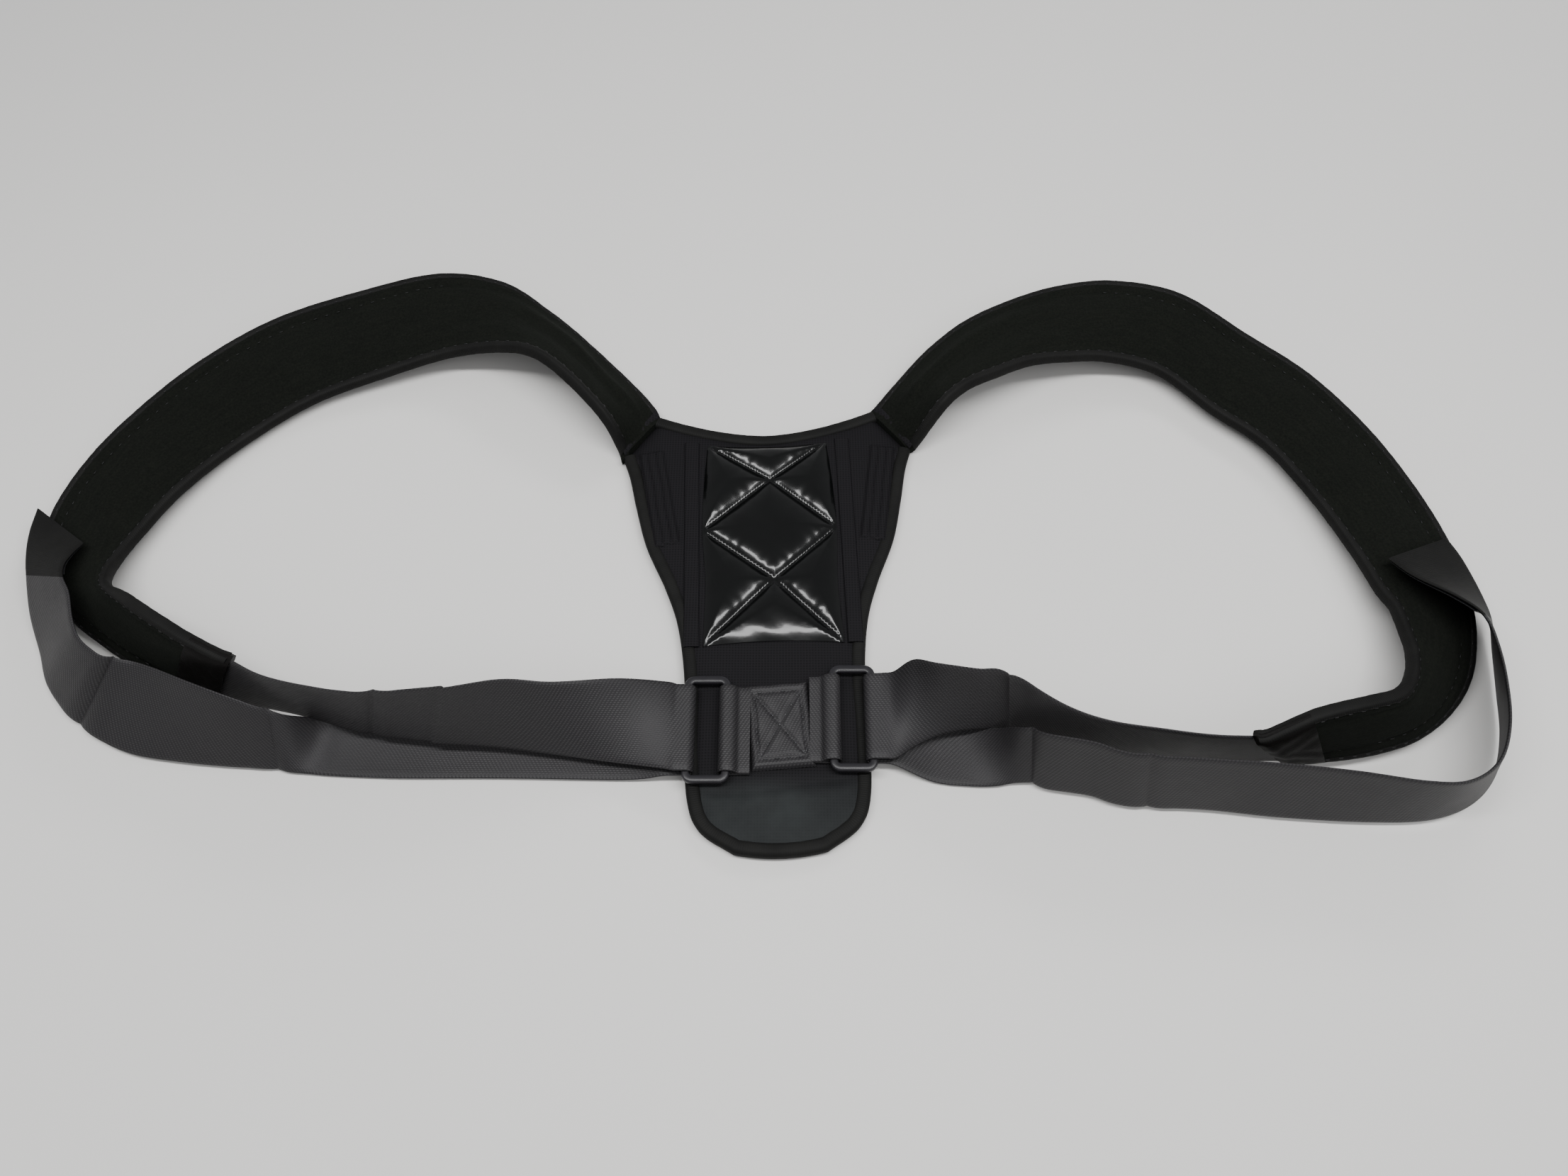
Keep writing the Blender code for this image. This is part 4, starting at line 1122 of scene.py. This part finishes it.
LEFT_UPPER = [
    ((-271, -43.8, 8), (-249.6, -41.2, 47)),
    ((-245, -48, 9), (-232, -51, 52)),
    ((-222, -53.5, 9.5), (-210, -57, 53)),
    ((-199, -61, 10), (-187, -60, 53)),
    ((-166, -66, 10), (-152, -57, 52)),
    ((-133, -68, 9), (-123, -51, 49)),
    ((-100, -72, 8.5), (-101, -49, 42)),
    ((-70, -77, 9), (-72, -42, 30)),
    ((-50, -81, 12.5), (-50, -38, 18)),
]
LEFT_LOWER = [
    ((-50, -82.5, 6.6), (-50, -37.5, 6.6)),
    ((-70, -83, 2.4), (-70, -38, 2.4)),
    ((-129, -82, 2), (-129, -38, 2)),
    ((-175, -82, 2), (-175, -44, 2)),
    ((-205, -81, 2), (-206, -51, 4)),
    ((-219, -80, 2), (-218, -52, 6.5)),
    ((-229, -79, 2), (-229, -58, 23)),
    ((-241, -77, 2), (-239, -58, 33)),
    ((-262, -76, 2.5), (-254, -55, 40)),
    ((-284, -74, 3), (-272, -48, 39)),
    ((-308, -70, 3), (-293, -38, 33)),
    ((-327, -62, 3), (-307, -33, 31)),
    ((-346, -49, 3), (-319, -32, 35)),
    ((-361, -33, 3), (-331, -24, 36)),
    ((-370, -15, 3), (-337, -14, 37)),
    ((-379, 5, 7), (-343, 1, 37)),
    ((-384, 25, 13), (-350, 11, 35)),
    ((-387.5, 39, 14.5), (-353.5, 20, 32)),
    ((-388.5, 51, 16), (-354, 29, 28)),
    ((-388, 64, 17), (-353, 38, 23.5)),
]
RIGHT_UPPER = [
    ((62, -75.5, 12.5), (62, -32.5, 18)),
    ((72, -68, 10), (70, -34, 34)),
    ((86, -62, 9.5), (80, -42, 46)),
    ((104, -60, 10), (97, -48, 52)),
    ((117, -61, 9.5), (111, -51, 54)),
    ((142, -71, 11), (135, -67, 54)),
    ((166, -74, 10), (155, -74, 52)),
    ((192, -74, 8), (179, -77, 50)),
    ((220, -74.5, 7), (202, -78, 46)),
    ((248.5, -74.4, 6.5), (222, -77.3, 42)),
]
RIGHT_LOWER = [
    ((62, -77.5, 6.6), (62, -32.5, 6.6)),
    ((80, -84, 2.4), (80, -44, 2.4)),
    ((97, -86, 2), (97, -55, 4)),
    ((110, -86, 2), (110, -61, 14)),
    ((123, -84, 2.5), (119, -69, 34)),
    ((137, -88, 3), (131, -78, 46)),
    ((154, -91, 3), (148, -82, 47)),
    ((170, -96, 3), (163, -87, 47)),
    ((208, -98, 3), (198, -90, 47)),
    ((242, -102, 3), (230, -92, 46)),
    ((282, -104, 3), (264, -95, 45)),
    ((313, -103, 3), (295, -100, 45)),
    ((335, -95, 3), (314, -99, 44)),
    ((350, -80, 3), (330, -89, 43)),
    ((359, -60, 3), (340, -71, 43)),
    ((364, -38, 3), (345, -50, 43)),
    ((368, -15, 4), (347, -30, 42)),
    ((370, 2, 7), (346, -13, 40)),
    ((366.5, 14, 11.5), (336, -2, 39)),
    ((360.5, 33, 15), (323, 14, 31)),
    ((355.5, 46, 15.5), (316, 27.5, 25.5)),
]
STRAP_SPACING = 1.25
TAIL_SPANS = 3
DOUBLED, DOUBLED_RISE = {"left": 155.0}, 1.2  # where the left strap's folded end is sewn back on itself
RING_LEAD = 5.5


def ring_wrap(side):
    """Edge pairs round the ring's outer bar, from above it to below it."""
    middle, _, _, outer, sign = ring_bars(side)
    turn = bar_turn(outer, middle[2], -sign, 90, -90, 18)
    lead = outer + sign * RING_LEAD
    path = [(lead, turn[0][1] + 0.35), *turn, (lead, turn[-1][1] - 0.35)]
    return np.array([[(x, middle[1] - WEB_WIDTH / 2, z), (x, middle[1] + WEB_WIDTH / 2, z)] for x, z in path])


def crease(run, at, depth, sharpness=1.6):
    """Lift of a strap across a pressed fold: a narrow ridge, with a shallow hollow on both sides."""
    d = np.abs(run - at)
    return depth * (np.exp(-d / sharpness) - 0.35 * np.exp(-((d - 7) / 4.5) ** 2))


def build_strap(side, upper, lower, creases):
    """The strap as one band from the pad's tip, round the ring, to where its tail begins; then the tail."""
    wrap = ring_wrap(side)
    top = smooth_path(np.concatenate([np.array(upper, float), wrap[:1]]), 8)
    run_out = smooth_path(np.concatenate([wrap[-1:], np.array(lower, float)]), 8)
    split = len(run_out) - TAIL_SPANS * 8 - 1
    edges = even(np.concatenate([top[:-1], wrap, run_out[1 : split + 1]]), STRAP_SPACING)
    run = np.arange(len(edges)) * STRAP_SPACING
    normals = row_normals(edges, 2)
    if normals[5] @ (0, -0.5, 0.87) < 0:
        normals = -normals
    middle, _, _, outer, sign = ring_bars(side)
    x = edges.mean(1)[:, 0] * sign
    turned = np.arange(len(x)) > np.argmin(x)
    lift = 0.25 * np.sin(run / 17) * np.sin(run / 41 + 1)
    for part, place, depth in creases:
        lift = lift + crease(run, run[np.argmin(np.where(turned == (part == "lower"), np.abs(x - place), 999))], depth)
    if side in DOUBLED:
        end = DOUBLED[side]
        lift = lift + DOUBLED_RISE * ~turned * (1 - ease(x, end - 0.7, end + 0.7)) * ease(x, end - 95, end - 70)
    strap = web_band(f"{side}_strap", edges, normals, lift=lift, along=run)
    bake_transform(strap)
    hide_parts(f"{side}_upper_strap", f"{side}_lower_strap", f"{side}_strap_wrap")
    tail_edges = even(run_out[split:], STRAP_SPACING)
    tail_normals = row_normals(tail_edges, 2)
    if tail_normals.sum(0) @ (0, -0.5, 0.87) < 0:
        tail_normals = -tail_normals
    tail_run = run[-1] + np.arange(len(tail_edges)) * STRAP_SPACING
    tail = web_band(f"{side}_strap_tail", tail_edges, tail_normals, along=tail_run)
    # The tail wears the darker tape cloth, not webbing: partly as the black hook-tape end of the strap, partly as
    # painted shade where it lies under the pad's edge.
    tail.data.materials[0] = TAPE
    for piece in (tail, build_hooks(side, tail_edges, tail_normals)):
        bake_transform(piece)
    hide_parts(f"{side}_tail")


def hook_tape():
    """Moulded hook tape: stiff black nylon set with rows of hooks 1.3 mm apart."""
    made, tree, shader = new_material("moulded_hook_tape", Roughness=0.55, Specular_IOR_Level=0.25)
    uv = add_node(tree, "ShaderNodeUVMap", uv_map="weave").outputs["UV"]
    hooks = add_node(tree, "ShaderNodeTexVoronoi", {"Vector": uv, "Scale": 1 / (1.3 * MM), "Randomness": 0.1},
                     voronoi_dimensions="2D").outputs["Distance"]
    tone = mixed(tree, hooks, "#1c1c1e", "#080809")
    tree.links.new(tone, shader.inputs["Base Color"])
    dots = add_node(tree, "ShaderNodeBump", {"Height": hooks, "Strength": 0.8, "Distance": -0.5 * MM})
    tree.links.new(dots.outputs["Normal"], shader.inputs["Normal"])
    return made


HOOKS = hook_tape()


def build_hooks(side, edges, normals):
    """The hook patch sewn under the tail."""
    a, half = web_section()
    patch = web_band(f"{side}_hook_tape", edges[3:-1], normals[3:-1], lift=-1.65,
                     section=(0.03 + 0.94 * a, half * 0.6))
    patch.data.materials.clear()
    patch.data.materials.append(HOOKS)
    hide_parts(f"{side}_hook_patch")
    return patch


build_strap("left", LEFT_UPPER, LEFT_LOWER, [("lower", 327, 1.4), ("lower", 236, 1.0), ("upper", 186, -0.9)])
build_strap("right", RIGHT_UPPER[::-1], RIGHT_LOWER, [("upper", 114, 1.1), ("lower", 125, 1.2), ("lower", 177, 0.9)])
